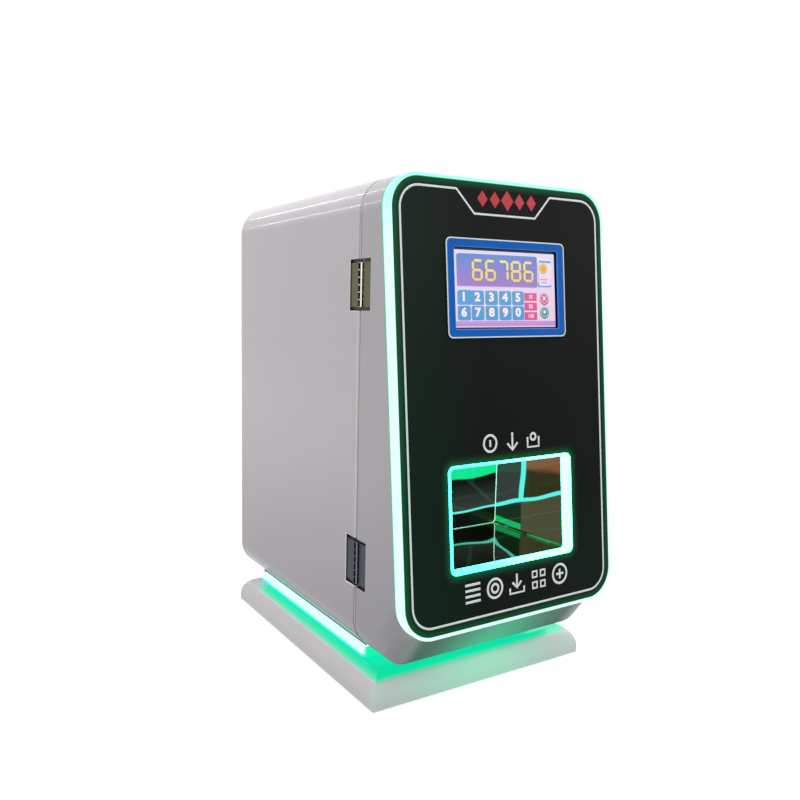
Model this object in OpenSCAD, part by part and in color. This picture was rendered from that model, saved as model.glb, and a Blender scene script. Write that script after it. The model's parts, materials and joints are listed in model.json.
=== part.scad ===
// Counter-top coin dispenser: a rounded cabinet on a plinth, with a hinged front door that
// carries a lit frame, a touch screen and a coin outlet, and a hopper drive inside.

/* [Overall] */
// Width over the plinth
total_w = 330; // [300:1:400]
// Height from the feet to the roof
total_h = 610; // [500:1:740]
// Depth from the front panel's lower edge to the back
total_d = 430; // [400:1:520]

/* [Plinth] */
// Height of the plinth's top
base_h = 39; // [34:1:60]
// Radius of the plinth's upper edges
base_edge_r = 29; // [16:1:30]
// How far the plinth's front stands behind the panel's lower edge
base_setback = 52.7; // [30:0.1:70]
// Height of the rubber feet below the bottom plate
foot_h = 4; // [3:0.5:8]
// Radius of a rubber foot
foot_r = 12; // [9:1:18]
// How far the plinth's lower edge clears the table
base_clear = 2; // [1:0.5:3]

/* [Neck] */
// Gap between the plinth and the cabinet
neck_h = 16; // [12:1:30]
// How far the neck stands in from the cabinet's sides
neck_inset = 25.5; // [20:0.5:40]
// How far the neck's front stands behind the plinth's front
neck_front = 59; // [40:1:80]
// Thickness of the neck's rails
neck_rail = 5; // [3:0.5:8]
// Width of the light tube round the neck
tube_w = 7; // [4:0.5:9]

/* [Cabinet] */
// How much narrower the cabinet is than the plinth
body_narrow = 4; // [4:0.5:12]
// Outer corner radius of the cabinet and door
body_r = 40; // [30:1:55]
// Wall of the cabinet and the door
wall = 3; // [2:0.5:4]
// Width of the flanges that face each other at the seam
flange_w = 12; // [11:0.5:20]
// Depth from the panel's lower edge to the middle of the seam
door_d = 98.4; // [90:0.1:130]
// Width of the seam between door and cabinet
seam_gap = 3; // [3:0.1:5]
// Step along both edges of the seam
seam_step = 1; // [1:0.1:1.5]
// Recess of the rear panel
rear_recess = 6; // [5.5:0.5:12]
// Thickness of the rear panel
rear_t = 2; // [1.5:0.5:3]

/* [Front] */
// Lean of the front panel
panel_tilt = 5.4; // [2:0.1:8]
// Height of the panel's lower edge above the cabinet's bottom
chin_h = 46.3; // [30:0.1:60]
// How far the cabinet's bottom starts behind the panel's lower edge
chin_d = 46; // [36:1:60]
// Corner radius of the slope under the panel
chin_r = 30; // [20:1:40]
// Depth of the lit frame round the panel
guide_d = 14; // [12:0.5:20]
// Width of that frame seen from the front
guide_rim = 4; // [3:0.5:6]
// Thickness of the panel
panel_t = 4; // [3:0.5:5]

/* [Screen] */
// Outer width of the screen's frame
bezel_w = 178; // [176:1:220]
// Outer height of the screen's frame
bezel_h = 111.6; // [110:0.1:150]
// How far that frame stands proud of the panel
bezel_t = 2.2; // [1:0.1:4]
// Distance from the panel's top edge to that frame
bezel_drop = 68.3; // [50:0.1:90]
// Width of the screen's window
window_w = 158; // [150:1:160]
// Height of the screen's window
window_h = 91.6; // [88:0.1:94]
// Width of the display module
display_w = 165; // [162:1:168]
// Height of the display module
display_h = 100; // [96:1:102]
// Thickness of the display module
display_t = 7; // [5:0.5:8]
// Depth of the display's face behind the panel's face
display_sink = 1; // [0.5:0.1:2]

/* [Outlet] */
// Outer width of the outlet's lit frame
outlet_w = 190; // [150:1:230]
// Outer height of the outlet's lit frame
outlet_h = 122.6; // [90:0.1:150]
// Height of that frame above the panel's lower edge
outlet_rise = 66; // [40:1:80]
// Corner radius of that frame
outlet_r = 8; // [6:1:14]
// Wall of that frame
outlet_rim = 3; // [2:0.5:5]
// Depth of that frame
outlet_d = 13; // [8:1:13]
// Depth of the tray behind the panel's lower edge
tray_d = 140; // [115:1:145]
// Sheet of the tray
tray_t = 1.5; // [1:0.1:2]
// Width of the coin opening in the tray's roof
drop_w = 64; // [50:1:80]
// Length of that opening from front to back
drop_l = 29; // [26:1:40]

/* [Hinges] */
// Height of a hinge
hinge_h = 50; // [44:1:70]
// Free height over and under a hinge in its pocket
hinge_end = 4; // [0.5:0.5:6]
// Width of one leaf from the hinge's axis
leaf_w = 21; // [17:1:26]
// Thickness of a leaf
leaf_t = 2; // [1.5:0.5:2.5]
// Radius of a hinge knuckle
knuckle_r = 3.5; // [3:0.1:4]
// Radius of a hinge pin
hinge_pin_r = 1.5; // [1:0.1:1.8]
// Knuckles on a hinge
knuckles = 6; // [4:2:8]
// Depth of the axis below the cabinet's side
hinge_sink = 1.5; // [1:0.1:1.5]
// Distance from the roof to the upper hinge's middle
hinge_top = 120.5; // [90:0.5:160]
// Distance from the cabinet's bottom to the lower hinge's middle
hinge_low = 110.5; // [90:0.5:140]

/* [Lock] */
// Radius of the lock's barrel
lock_r = 9; // [8:0.5:10]
// Radius of the lock's plug
plug_r = 6; // [5:0.5:6.5]
// Radius from the lock's axis to the striker
striker_reach = 25; // [24:0.5:28]
// Radius of the striker
striker_r = 2; // [1.5:0.1:2.5]
// Thickness of the cam
cam_t = 3; // [2:0.5:4]
// Height of the lock above the hopper's shelf
lock_rise = 55; // [48:1:90]

/* [Hopper] */
// Radius of the coin disc
disc_r = 70; // [60:1:74]
// Thickness of the coin disc
disc_t = 6; // [4:0.5:8]
// Radius of a coin hole in the disc
coin_hole_r = 14.5; // [12:0.5:15]
// Coin holes in the disc
coin_holes = 6; // [5:1:7]
// Radius of the disc's shaft
shaft_r = 6; // [5:0.5:8]
// Height of the hopper's drive housing
drive_h = 60; // [58:1:90]
// Half width of that housing
drive_half = 85; // [82:1:100]
// Teeth on the disc's gear
gear_teeth = 54; // [48:1:60]
// Teeth on the motor's pinion
pinion_teeth = 18; // [17:1:22]
// Tooth module of both gears
tooth_module = 1.25; // [1.1:0.05:1.3]
// Free space over the hopper's bowl
bowl_headroom = 45; // [20:1:80]

/* [Fits] */
// Radial clearance of a running fit
run_fit = 0.05; // [0.02:0.01:0.1]
// Clearance between pieces that lie in each other
loose_fit = 0.3; // [0.2:0.05:0.5]
// Clearance of the door over what lies under it
door_fit = 1; // [0.6:0.1:2]
// Radius of a small screw
screw_r = 1.5; // [1:0.1:2]

/* [Hidden] */
$fn = 96;

// Main planes
y_front = -total_d / 2;
y_back = total_d / 2;
body_w = total_w - body_narrow;
body_x = body_w / 2;
body_z = base_h + neck_h;
inner_x = body_x - wall;
floor_z = body_z + wall;
roof_z = total_h - wall;
seam_y = y_front + door_d;
door_edge_y = seam_y - seam_gap / 2;
cabinet_edge_y = seam_y + seam_gap / 2;
flange_t = wall;
flange_inset = wall + flange_w;
rear_y = y_back - rear_recess - rear_t;
base_y = y_front + base_setback;
past = 1;
far = total_h + total_d;

// Front panel
panel_z = body_z + chin_h;
panel_len = (total_h - panel_z) / cos(panel_tilt);
panel_sink = 0.2;
panel_back = panel_sink + panel_t;
face_d = guide_d;
face_back = face_d + wall;
chin_run = chin_d - guide_d / cos(panel_tilt);
chin_y = y_front + chin_d;
chin_lean = atan(chin_run / chin_h);
bezel_mid = panel_len - bezel_drop - bezel_h / 2;
bezel_r = 7;
window_r = 2;
display_front = panel_sink + display_sink;
display_back = display_front + display_t;
display_room = 4;
display_r = 1.5;
outlet_mid = outlet_rise + outlet_h / 2;
outlet_proud = 0.6;
strip_t = 1.5;
post_size = 4;

// Tray behind the outlet
tray_w = outlet_w - 2 * outlet_rim;
tray_h = outlet_h - 2 * outlet_rim;
tray_r = outlet_r - outlet_rim;
tray_start = outlet_d + panel_sink;
tray_flange = 11;
tray_room = 1;
tray_low = panel_z + (outlet_rise + outlet_rim) * cos(panel_tilt) - outlet_d * sin(panel_tilt);
tray_high = tray_low + tray_h * cos(panel_tilt);
tray_y = y_front + tray_d;
drop_y = tray_y - 2 * tray_t;
mouth_gap = 3;
mouth_z = tray_high + tray_t + mouth_gap;

// Hinges
hinge_x = -body_x + hinge_sink;
hinge_floor = hinge_x + leaf_t;
hinge_zs = [body_z + hinge_low, total_h - hinge_top];
pad_t = 4;
pad_rim = 6;
knuckle_gap = 0.4;
knuckle_slot = 1.5;
knuckle_len = hinge_h / knuckles;
stud_r = 2;
stud_rise = hinge_h * 0.3;
stud_out = leaf_w * 0.62;
nut_t = 3.2;
nut_r = 4;

// Hopper
shelf_t = 3;
shelf_over = 18;
shelf_z = mouth_z + shelf_over;
drive_z = shelf_z + shelf_t;
deck_t = 6;
deck_z = drive_z + drive_h;
deck_under = deck_z - deck_t;
drive_front = drop_y;
exit_apron = 25;
hop_y = drive_front + exit_apron + drive_half;
drive_back = hop_y + drive_half;
collar_r = disc_r + 2;
collar_t = 3;
collar_h = 30;
rear_gap = 12;
side_gap = 40;
front_gap = 14;
bowl_r = min(inner_x - side_gap, rear_y - rear_gap - hop_y, hop_y - seam_y - front_gap);
bowl_z = roof_z - bowl_headroom;
bowl_lip = 30;
shelf_front = drive_front;
shelf_back = rear_y - rear_gap;
bush_wall = 4;
bush_r = shaft_r + bush_wall;
bush_flange = 3;
gear_t = 8;
gear_top = deck_under - bush_flange - loose_fit;
gear_z = gear_top - gear_t;
gear_reach = tooth_module * (gear_teeth + pinion_teeth) / 2;
pinion_x = gear_reach;
bracket_t = 3;
bracket_top = gear_z - bracket_t;
motor_r = 18;
motor_top = bracket_top - bracket_t;
motor_low = drive_z + loose_fit;
motor_shaft_r = 3;
boss_r = 8;
disc_z = deck_z + loose_fit;
hole_edge = 5;

// Lock on the right wall
lock_back = 18;
lock_y = seam_y + lock_back;
lock_z = shelf_z + lock_rise;
cam_in = 21;
cam_x = inner_x - cam_in;
cam_edge = 5;
cam_far_r = striker_reach + striker_r + cam_edge;
barrel_end = cam_x + cam_t + past;
tail_r = plug_r - 2;
head_t = total_w / 2 - body_x;
lock_rim = 3;
lock_nut_t = 5;

// Exit arm on the apron in front of the disc
arm_pivot = [40, drive_front + 18];
roller_at = [10, drive_front + 24];
arm_t = 4;
arm_w = 7;
arm_pin_r = 3;
roller_r = 6;
roller_t = 5;
roller_pin_r = 1.6;
roller_z = deck_z + loose_fit;
arm_z = roller_z + roller_t + loose_fit;
arm_len = norm(roller_at - arm_pivot);
arm_turn = atan2(roller_at[1] - arm_pivot[1], roller_at[0] - arm_pivot[0]);
tail_len = 14;
arm_boss = 3;

// Chute from the apron down to the tray's roof
chute_half = 20;
chute_t = 1.5;
chute_d = 20;
chute_lip = 3;
chute_back = drive_front;
chute_front = chute_back - chute_d;
chute_top = deck_z + chute_lip;

// Inlet on the rear panel
inlet_w = 30;
inlet_h = 52;
inlet_t = 2.5;
inlet_body_w = 27;
inlet_body_h = 46;
inlet_deep = 32;
inlet_in = 65;
inlet_lift = 62;
inlet_x = inner_x - inlet_in;
inlet_z = floor_z + inlet_lift;
inlet_face = rear_y + rear_t + inlet_t;
socket_w = 22;
socket_h = 15;
socket_deep = 17;
rocker_r = 9;
rocker_w = 12;
rocker_tip = 9;
rocker_pin_r = 1.2;
rocker_pin_l = 3;
rocker_sink = 6;
rocker_up = 12;
socket_down = 11;
rocker_y = inlet_face - rocker_sink;
rocker_z = inlet_z + rocker_up;
socket_z = inlet_z - socket_down;
rocker_well = 18;

// Plinth and neck
foot_in = 34;
foot_xs = [-total_w / 2 + foot_in, total_w / 2 - foot_in];
foot_ys = [base_y + foot_in, y_back - foot_in];
plate_t = 2;
plate_top = foot_h + plate_t;
post_r = 7;
shank = 12;
neck_x = body_x - neck_inset;
neck_y0 = max(base_y + neck_front, cabinet_edge_y + door_fit);
neck_y1 = y_back - base_edge_r;
tube_low = base_h + loose_fit;
tube_top = body_z - 2 * door_fit;
bolt_r = 3;
bolt_in = 30;
bolt_x = neck_x - neck_rail - bolt_in;
bolt_ys = [cabinet_edge_y + 36, neck_y1 - 13];
bolt_head_t = 4;
bolt_nut_t = 5;
pan_head = 1.4;

// Lower compartment
psu_w = 150;
psu_d = 98;
psu_h = 42;
psu_gap = 10;
psu_x = -inner_x + body_r;
psu_y = bolt_ys[1] - 2 * bolt_r - psu_gap - psu_d;
board_w = 120;
board_h = 90;
board_t = 1.6;
board_gap = 8;
board_rear = 60;
board_lift = 75;
board_edge = 6;
board_x = inner_x - board_gap - board_t;
board_y = rear_y - board_rear - board_w;
board_z = floor_z + board_lift;
board_holes = [
    for (y = [board_edge, board_w - board_edge], z = [board_edge, board_h - board_edge])
        [board_y + y, board_z + z]
];

// Extrudes a shape drawn as (x, z) between two depths
module along_y(y0, y1) {
    translate([0, y1, 0]) rotate([90, 0, 0]) linear_extrude(y1 - y0) children();
}

// Extrudes a shape drawn as (y, z) between two widths
module along_x(x0, x1) {
    translate([x0, 0, 0]) rotate([90, 0, 90]) linear_extrude(x1 - x0) children();
}

// Round bar along x
module bar_x(x0, x1, r) {
    translate([x0, 0, 0]) rotate([0, 90, 0]) cylinder(r = r, h = x1 - x0);
}

// Rounded rectangle, centred on x and standing between two heights
module rounded(w, bottom, top, r) {
    translate([-w / 2 + r, bottom]) square([w - 2 * r, top - bottom]);
    translate([-w / 2, bottom + r]) square([w, top - bottom - 2 * r]);
    for (x = [-w / 2 + r, w / 2 - r], z = [bottom + r, top - r]) translate([x, z]) circle(r);
}

// Front outline of the cabinet, and of the lit frame round the panel
module body_outline(inset) {
    rounded(body_w - 2 * inset, body_z + inset, total_h - inset, body_r - inset);
}

module panel_outline(inset) {
    rounded(body_w - 2 * inset, panel_z + inset, total_h - inset, body_r - inset);
}

// Stands its children on the panel: x across, y up the slope, z out of the front
module on_panel(depth = 0) {
    translate([0, y_front, panel_z]) rotate([90 - panel_tilt, 0, 0]) translate([0, 0, -depth]) children();
}

// Layer between two depths behind the panel's front plane
module layer(from, to) {
    on_panel(to) translate([-far, -far, 0]) cube([2 * far, 2 * far, to - from]);
}

// Rounded block on the panel, between two depths
module panel_block(w, mid, h, r, from, to) {
    on_panel(to) linear_extrude(to - from) rounded(w, mid - h / 2, mid + h / 2, r);
}

// Space above the slope under the panel
module over_chin(inset) {
    translate([0, chin_y, body_z]) rotate([chin_lean, 0, 0]) translate([0, 0, -far / 2])
        linear_extrude(far) rounded(body_w - 2 * inset, inset, far, chin_r - inset);
}

// Pads behind the wall that carry one side's hinge leaves, and their pockets
module hinge_pads(y0, y1) {
    tall = hinge_h / 2 + hinge_end + pad_rim;
    for (z = hinge_zs) translate([-inner_x - past, y0, z - tall])
        cube([hinge_floor + pad_t + inner_x + past, y1 - y0, 2 * tall]);
}

module hinge_pockets() {
    reach = leaf_w + loose_fit;
    tall = hinge_h / 2 + hinge_end;
    for (z = hinge_zs) {
        translate([-body_x - past, seam_y - reach, z - tall])
            cube([hinge_floor + body_x + past, 2 * reach, 2 * tall]);
        translate([hinge_x, seam_y, z - tall]) cylinder(r = knuckle_r + loose_fit, h = 2 * tall);
        for (side = [-1, 1], up = [-1, 1])
            translate([0, seam_y + side * stud_out, z + up * stud_rise])
                bar_x(hinge_floor - past, hinge_floor + pad_t + past, stud_r + run_fit);
    }
}

// One leaf of each hinge, with its knuckles and the studs behind it
module hinge_leaves(side, first) {
    back = knuckle_r + knuckle_slot;
    for (mid = hinge_zs) difference() {
        union() {
            translate([hinge_x, side > 0 ? seam_y + back : seam_y - leaf_w, mid - hinge_h / 2])
                cube([leaf_t, leaf_w - back, hinge_h]);
            for (i = [first : 2 : knuckles - 1]) {
                low = mid - hinge_h / 2 + i * knuckle_len + knuckle_gap / 2;
                translate([hinge_x, seam_y, low]) cylinder(r = knuckle_r, h = knuckle_len - knuckle_gap);
                translate([hinge_x, side > 0 ? seam_y : seam_y - back - past, low])
                    cube([leaf_t, back + past, knuckle_len - knuckle_gap]);
            }
            for (up = [-1, 1]) translate([0, seam_y + side * stud_out, mid + up * stud_rise])
                bar_x(hinge_floor - leaf_t / 2, hinge_floor + pad_t + nut_t + past, stud_r);
        }
        translate([hinge_x, seam_y, mid - hinge_h]) cylinder(r = hinge_pin_r + run_fit, h = 2 * hinge_h);
    }
}

module hinge_nuts(side) {
    for (z = hinge_zs, up = [-1, 1]) translate([0, seam_y + side * stud_out, z + up * stud_rise])
        difference() {
            translate([hinge_floor + pad_t, 0, 0]) rotate([0, 90, 0])
                cylinder(r = nut_r, h = nut_t, $fn = 6);
            bar_x(hinge_floor, hinge_floor + pad_t + nut_t + past, stud_r + run_fit);
        }
}

// Involute gear standing on z = 0, with a tooth or a gap facing +x
function involute(a) = tan(a) - a * PI / 180;
function flank(r, base, half) =
    half - (r > base ? involute(acos(base / r)) : 0) * 180 / PI;

module gear(teeth, tall, bore, turn) {
    steps = 6;
    thin = 0.08;
    pressure = 20;
    pitch = tooth_module * teeth / 2;
    base = pitch * cos(pressure);
    root = pitch - 1.25 * tooth_module;
    tip = pitch + 0.9 * tooth_module;
    half = 90 / teeth - thin / pitch * 180 / PI + involute(pressure) * 180 / PI;
    rise = [for (i = [0 : steps]) max(root, base) + (tip - max(root, base)) * i / steps];
    side = concat([[root - past, flank(root, base, half)]], [for (r = rise) [r, flank(r, base, half)]]);
    turned = [for (i = [len(side) - 1 : -1 : 0]) [side[i][0], -side[i][1]]];
    tooth = [for (p = concat(side, turned)) [p[0] * cos(p[1]), p[0] * sin(p[1])]];
    difference() {
        union() {
            cylinder(r = root, h = tall);
            for (i = [0 : teeth - 1]) rotate([0, 0, turn + i * 360 / teeth])
                linear_extrude(tall) polygon(tooth);
        }
        translate([0, 0, -past]) cylinder(r = bore, h = tall + 2 * past);
    }
}

// Part of a ring between two angles, standing on z = 0
module arc_band(r0, r1, from, to, tall) {
    reach = 2 * r1;
    intersection() {
        difference() {
            cylinder(r = r1, h = tall);
            translate([0, 0, -past]) cylinder(r = r0, h = tall + 2 * past);
        }
        linear_extrude(tall) polygon([
            [0, 0], [reach * cos(from), reach * sin(from)], [reach * cos(to), reach * sin(to)]
        ]);
    }
}

// Plinth: its section between two ends, and its body from two such sections
module base_section(from, to, inset) {
    r = base_edge_r;
    intersection() {
        union() {
            translate([from + inset, 0]) square([to - from - 2 * inset, base_h - r]);
            translate([from + r, 0]) square([to - from - 2 * r, base_h - inset]);
            for (end = [from + r, to - r]) translate([end, base_h - r]) circle(r - inset);
        }
        translate([from, base_clear]) square([to - from, base_h]);
    }
}

module base_body(inset) intersection() {
    x = total_w / 2;
    along_y(base_y, y_back) base_section(-x, x, inset);
    along_x(-x, x) base_section(base_y, y_back, inset);
}

module base_plinth() color("lightgray") difference() {
    base_body(0);
    difference() {
        base_body(wall);
        for (x = foot_xs, y = foot_ys) translate([x, y, plate_top]) cylinder(r = post_r, h = base_h);
    }
    for (x = foot_xs, y = foot_ys) translate([x, y, plate_top - past])
        cylinder(r = screw_r + run_fit, h = shank + past);
    for (x = [-bolt_x, bolt_x], y = bolt_ys) translate([x, y, base_h - wall - past])
        cylinder(r = bolt_r + run_fit, h = wall + 2 * past);
}

module base_bottom_plate() color("dimgray") difference() {
    x = total_w / 2 - wall - loose_fit;
    y0 = base_y + wall + loose_fit;
    translate([-x, y0, foot_h]) cube([2 * x, y_back - wall - loose_fit - y0, plate_t]);
    for (fx = foot_xs, fy = foot_ys) translate([fx, fy, 0])
        cylinder(r = screw_r + run_fit, h = plate_top + past);
}

module rubber_feet() color("black") for (x = foot_xs, y = foot_ys) translate([x, y, 0]) difference() {
    cylinder(r = foot_r, h = foot_h);
    translate([0, 0, -past]) cylinder(r = 2 * screw_r + 1, h = foot_h / 2 + past);
    cylinder(r = screw_r + run_fit, h = foot_h + past);
}

module base_screws() color("silver") for (x = foot_xs, y = foot_ys) translate([x, y, 0]) {
    translate([0, 0, foot_h / 4]) cylinder(r = 2 * screw_r, h = foot_h / 4);
    translate([0, 0, foot_h / 4]) cylinder(r = screw_r, h = plate_top + shank - foot_h / 4 - past);
}

// Neck between plinth and cabinet
module neck_rails() color("gray") difference() {
    union() {
        for (x = [-neck_x, neck_x - neck_rail]) translate([x, neck_y0, base_h])
            cube([neck_rail, neck_y1 - neck_y0, body_r]);
        for (y = [neck_y0, neck_y1 - neck_rail]) translate([-neck_x, y, base_h])
            cube([2 * neck_x, neck_rail, body_z - base_h]);
    }
    along_y(cabinet_edge_y, y_back + past) body_outline(0);
}

module neck_light_tube() color("aquamarine")
    translate([0, 0, tube_low]) linear_extrude(tube_top - tube_low) difference() {
        translate([-neck_x - tube_w, neck_y0 - tube_w])
            square([2 * (neck_x + tube_w), neck_y1 - neck_y0]);
        translate([-neck_x, neck_y0]) square([2 * neck_x, neck_y1 - neck_y0]);
        for (side = [-1, 1]) translate([side * (neck_x + tube_w), neck_y0 - tube_w]) rotate([0, 0, 45])
            square(tube_w, center = true);
    }

module body_bolts() color("silver") for (x = [-bolt_x, bolt_x], y = bolt_ys) translate([x, y, 0]) {
    translate([0, 0, floor_z]) cylinder(r = 2 * bolt_r, h = bolt_head_t, $fn = 6);
    low = base_h - wall - bolt_nut_t - past;
    translate([0, 0, low]) cylinder(r = bolt_r, h = floor_z - low + past);
}

module body_nuts() color("silver") for (x = [-bolt_x, bolt_x], y = bolt_ys)
    translate([x, y, base_h - wall - bolt_nut_t]) difference() {
        cylinder(r = 2 * bolt_r, h = bolt_nut_t, $fn = 6);
        translate([0, 0, -past]) cylinder(r = bolt_r + run_fit, h = bolt_nut_t + 2 * past);
    }

// Cabinet
module cabinet_shell() color("lightgray") difference() {
    union() {
        difference() {
            union() {
                along_y(cabinet_edge_y + seam_step, y_back) body_outline(0);
                along_y(cabinet_edge_y, cabinet_edge_y + 2 * seam_step) body_outline(seam_step);
            }
            along_y(cabinet_edge_y + flange_t, rear_y - flange_t) body_outline(wall);
            along_y(cabinet_edge_y - past, rear_y) body_outline(flange_inset);
            along_y(rear_y, y_back + past) body_outline(wall);
        }
        hinge_pads(cabinet_edge_y, seam_y + leaf_w + pad_rim);
    }
    hinge_pockets();
    translate([0, lock_y, lock_z]) bar_x(inner_x - past, body_x + past, lock_r + run_fit);
    for (x = [-bolt_x, bolt_x], y = bolt_ys) translate([x, y, body_z - past])
        cylinder(r = bolt_r + run_fit, h = wall + 2 * past);
    rear_screw_places() cylinder(r = screw_r + run_fit, h = 4 * flange_t, center = true);
}

// Puts its children at each rear screw, with z pointing to the back
module rear_screw_places() {
    in = wall + flange_w / 2;
    mid = (body_z + total_h) / 2;
    for (side = [-1, 1], z = [body_z + body_r, mid, total_h - body_r])
        translate([side * (body_x - in), rear_y, z]) rotate([-90, 0, 0]) children();
}

module rear_panel() color("gray") difference() {
    along_y(rear_y, rear_y + rear_t) body_outline(wall + loose_fit);
    vent_w = 70;
    vent_h = 3;
    vent_rows = 10;
    vent_drop = 60;
    hole_w = inlet_body_w + 2 * loose_fit;
    hole_h = inlet_body_h + 2 * loose_fit;
    for (side = [-1, 1], row = [0 : vent_rows - 1])
        translate([side * inner_x / 3 - vent_w / 2, rear_y - past, roof_z - vent_drop - row * 3 * vent_h])
            cube([vent_w, rear_t + 2 * past, vent_h]);
    translate([inlet_x - hole_w / 2, rear_y - past, inlet_z - hole_h / 2])
        cube([hole_w, rear_t + 2 * past, hole_h]);
    rear_screw_places() cylinder(r = screw_r + run_fit, h = 4 * flange_t, center = true);
}

module rear_panel_screws() color("silver") rear_screw_places() {
    translate([0, 0, -flange_t]) cylinder(r = screw_r, h = flange_t + rear_t + past);
    translate([0, 0, rear_t]) cylinder(r = 2 * screw_r, h = pan_head * screw_r);
}

module door_seal() color("black") {
    seal_in = wall + 4;
    seal_w = 6;
    along_y(door_edge_y + 2 * loose_fit, cabinet_edge_y) difference() {
        body_outline(seal_in);
        body_outline(seal_in + seal_w);
    }
}

module cabinet_hinge_leaves() color("darkolivegreen") hinge_leaves(1, 0);

module hinge_pins() color("silver") for (z = hinge_zs) translate([hinge_x, seam_y, z - hinge_h / 2])
    cylinder(r = hinge_pin_r, h = hinge_h);

module cabinet_hinge_nuts() color("silver") hinge_nuts(1);

// Shelf and hopper
module shelf_brackets() color("gray") for (side = [-1, 1]) {
    leg = 15;
    thin = 2;
    translate([side > 0 ? inner_x - thin : -inner_x, shelf_front, shelf_z - leg])
        cube([thin, shelf_back - shelf_front, leg]);
    translate([side > 0 ? inner_x - leg : -inner_x, shelf_front, shelf_z - thin])
        cube([leg, shelf_back - shelf_front, thin]);
}

module hopper_shelf() color("gray")
    translate([-inner_x + loose_fit, shelf_front, shelf_z])
        cube([2 * (inner_x - loose_fit), shelf_back - shelf_front, shelf_t]);

module hopper_base() color("darkorange") difference() {
    union() {
        translate([-drive_half, drive_front, drive_z])
            cube([2 * drive_half, drive_back - drive_front, drive_h]);
        translate([arm_pivot[0], arm_pivot[1], deck_z - past])
            cylinder(r = arm_pin_r, h = arm_z + arm_t - deck_z + 2 * past);
    }
    translate([-drive_half + wall, drive_front + wall, drive_z - past])
        cube([2 * (drive_half - wall), drive_back - drive_front - 2 * wall, drive_h - deck_t + past]);
    translate([0, hop_y, deck_under - past]) cylinder(r = bush_r, h = deck_t + 2 * past);
}

module hopper_bowl() color("gainsboro") difference() {
    t = collar_t;
    throat = deck_z + collar_h;
    slope_end = bowl_z - bowl_lip;
    translate([0, hop_y, 0]) rotate_extrude() polygon([
        [collar_r, deck_z], [collar_r + t, deck_z], [collar_r + t, throat],
        [bowl_r, slope_end], [bowl_r, bowl_z], [bowl_r - t, bowl_z],
        [bowl_r - t, slope_end + t / 2], [collar_r, throat + t / 2]
    ]);
    translate([-chute_half, hop_y - collar_r - 3 * t, deck_z - past])
        cube([2 * chute_half, 6 * t, roller_t + 3 * past]);
}

module disc_bearing() color("goldenrod") translate([0, hop_y, 0]) difference() {
    union() {
        translate([0, 0, deck_under]) cylinder(r = bush_r, h = deck_t);
        translate([0, 0, deck_under - bush_flange]) cylinder(r = bush_r + bush_wall, h = bush_flange);
    }
    translate([0, 0, deck_under - bush_flange - past])
        cylinder(r = shaft_r + run_fit, h = 2 * deck_t + bush_flange);
}

module coin_disc() color("steelblue") translate([0, hop_y, disc_z]) difference() {
    union() {
        cylinder(r = disc_r, h = disc_t);
        cylinder(r = 3 * shaft_r, h = 2 * disc_t);
    }
    for (i = [0 : coin_holes - 1]) rotate([0, 0, 90 + i * 360 / coin_holes])
        translate([disc_r - coin_hole_r - hole_edge, 0, -past])
            cylinder(r = coin_hole_r, h = disc_t + 2 * past);
    translate([0, 0, -past]) cylinder(r = shaft_r, h = 2 * disc_t);
}

module disc_shaft() color("silver") translate([0, hop_y, gear_z])
    cylinder(r = shaft_r, h = disc_z + 2 * disc_t - past - gear_z);

module disc_gear() color("tan") translate([0, hop_y, gear_z]) gear(gear_teeth, gear_t, shaft_r, 0);

module motor_pinion() color("goldenrod") translate([pinion_x, hop_y, gear_z]) {
    gear(pinion_teeth, gear_t, motor_shaft_r, 180 + 180 / pinion_teeth);
    translate([0, 0, -gear_t - bracket_t]) cylinder(r = motor_shaft_r, h = 2 * gear_t + bracket_t);
}

module drive_motor() color("dimgray") translate([pinion_x, hop_y, 0]) difference() {
    union() {
        translate([0, 0, motor_low]) cylinder(r = motor_r, h = motor_top - motor_low);
        translate([0, 0, motor_top]) cylinder(r = boss_r, h = bracket_t);
    }
    translate([0, 0, gear_z - gear_t - bracket_t - loose_fit])
        cylinder(r = motor_shaft_r + run_fit, h = 2 * gear_t);
}

module motor_bracket() color("gray") difference() {
    edge = drive_half - wall;
    half = motor_r + bracket_t;
    leg = 20;
    union() {
        translate([pinion_x - half, hop_y - half, motor_top])
            cube([edge - pinion_x + half, 2 * half, bracket_t]);
        translate([edge - bracket_t, hop_y - half, motor_top - leg]) cube([bracket_t, 2 * half, leg]);
    }
    translate([pinion_x, hop_y, motor_top - past]) cylinder(r = boss_r + run_fit, h = bracket_t + 2 * past);
}

module coin_chute() color("silver") difference() {
    x = chute_half + chute_t;
    translate([-x, chute_front, mouth_z]) cube([2 * x, chute_back - chute_front, chute_top - mouth_z]);
    translate([-chute_half, chute_front + chute_t, mouth_z - past])
        cube([2 * chute_half, chute_back - chute_front - 2 * chute_t, chute_top - mouth_z + 2 * past]);
    translate([-chute_half, chute_back - 2 * chute_t, deck_z])
        cube([2 * chute_half, 3 * chute_t, chute_top - deck_z + past]);
}

module coin_sensor() color("black") {
    size = [10, 12, 18];
    lift = 40;
    translate([chute_half + chute_t, chute_front + (chute_d - size[1]) / 2, mouth_z + lift]) cube(size);
}

module roller_arm() color("silver") difference() {
    union() {
        translate([arm_pivot[0], arm_pivot[1], deck_z + loose_fit])
            cylinder(r = arm_pin_r + arm_boss, h = arm_z + arm_t - deck_z - loose_fit);
        translate([arm_pivot[0], arm_pivot[1], arm_z]) rotate([0, 0, arm_turn]) {
            translate([-tail_len, -arm_w / 2, 0]) cube([arm_len + tail_len, arm_w, arm_t]);
            translate([arm_len, 0, 0]) cylinder(r = arm_w / 2, h = arm_t);
        }
        translate([roller_at[0], roller_at[1], roller_z + past])
            cylinder(r = roller_pin_r, h = arm_z - roller_z);
    }
    translate([arm_pivot[0], arm_pivot[1], deck_z]) cylinder(r = arm_pin_r + run_fit, h = 8 * arm_t);
}

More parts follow.
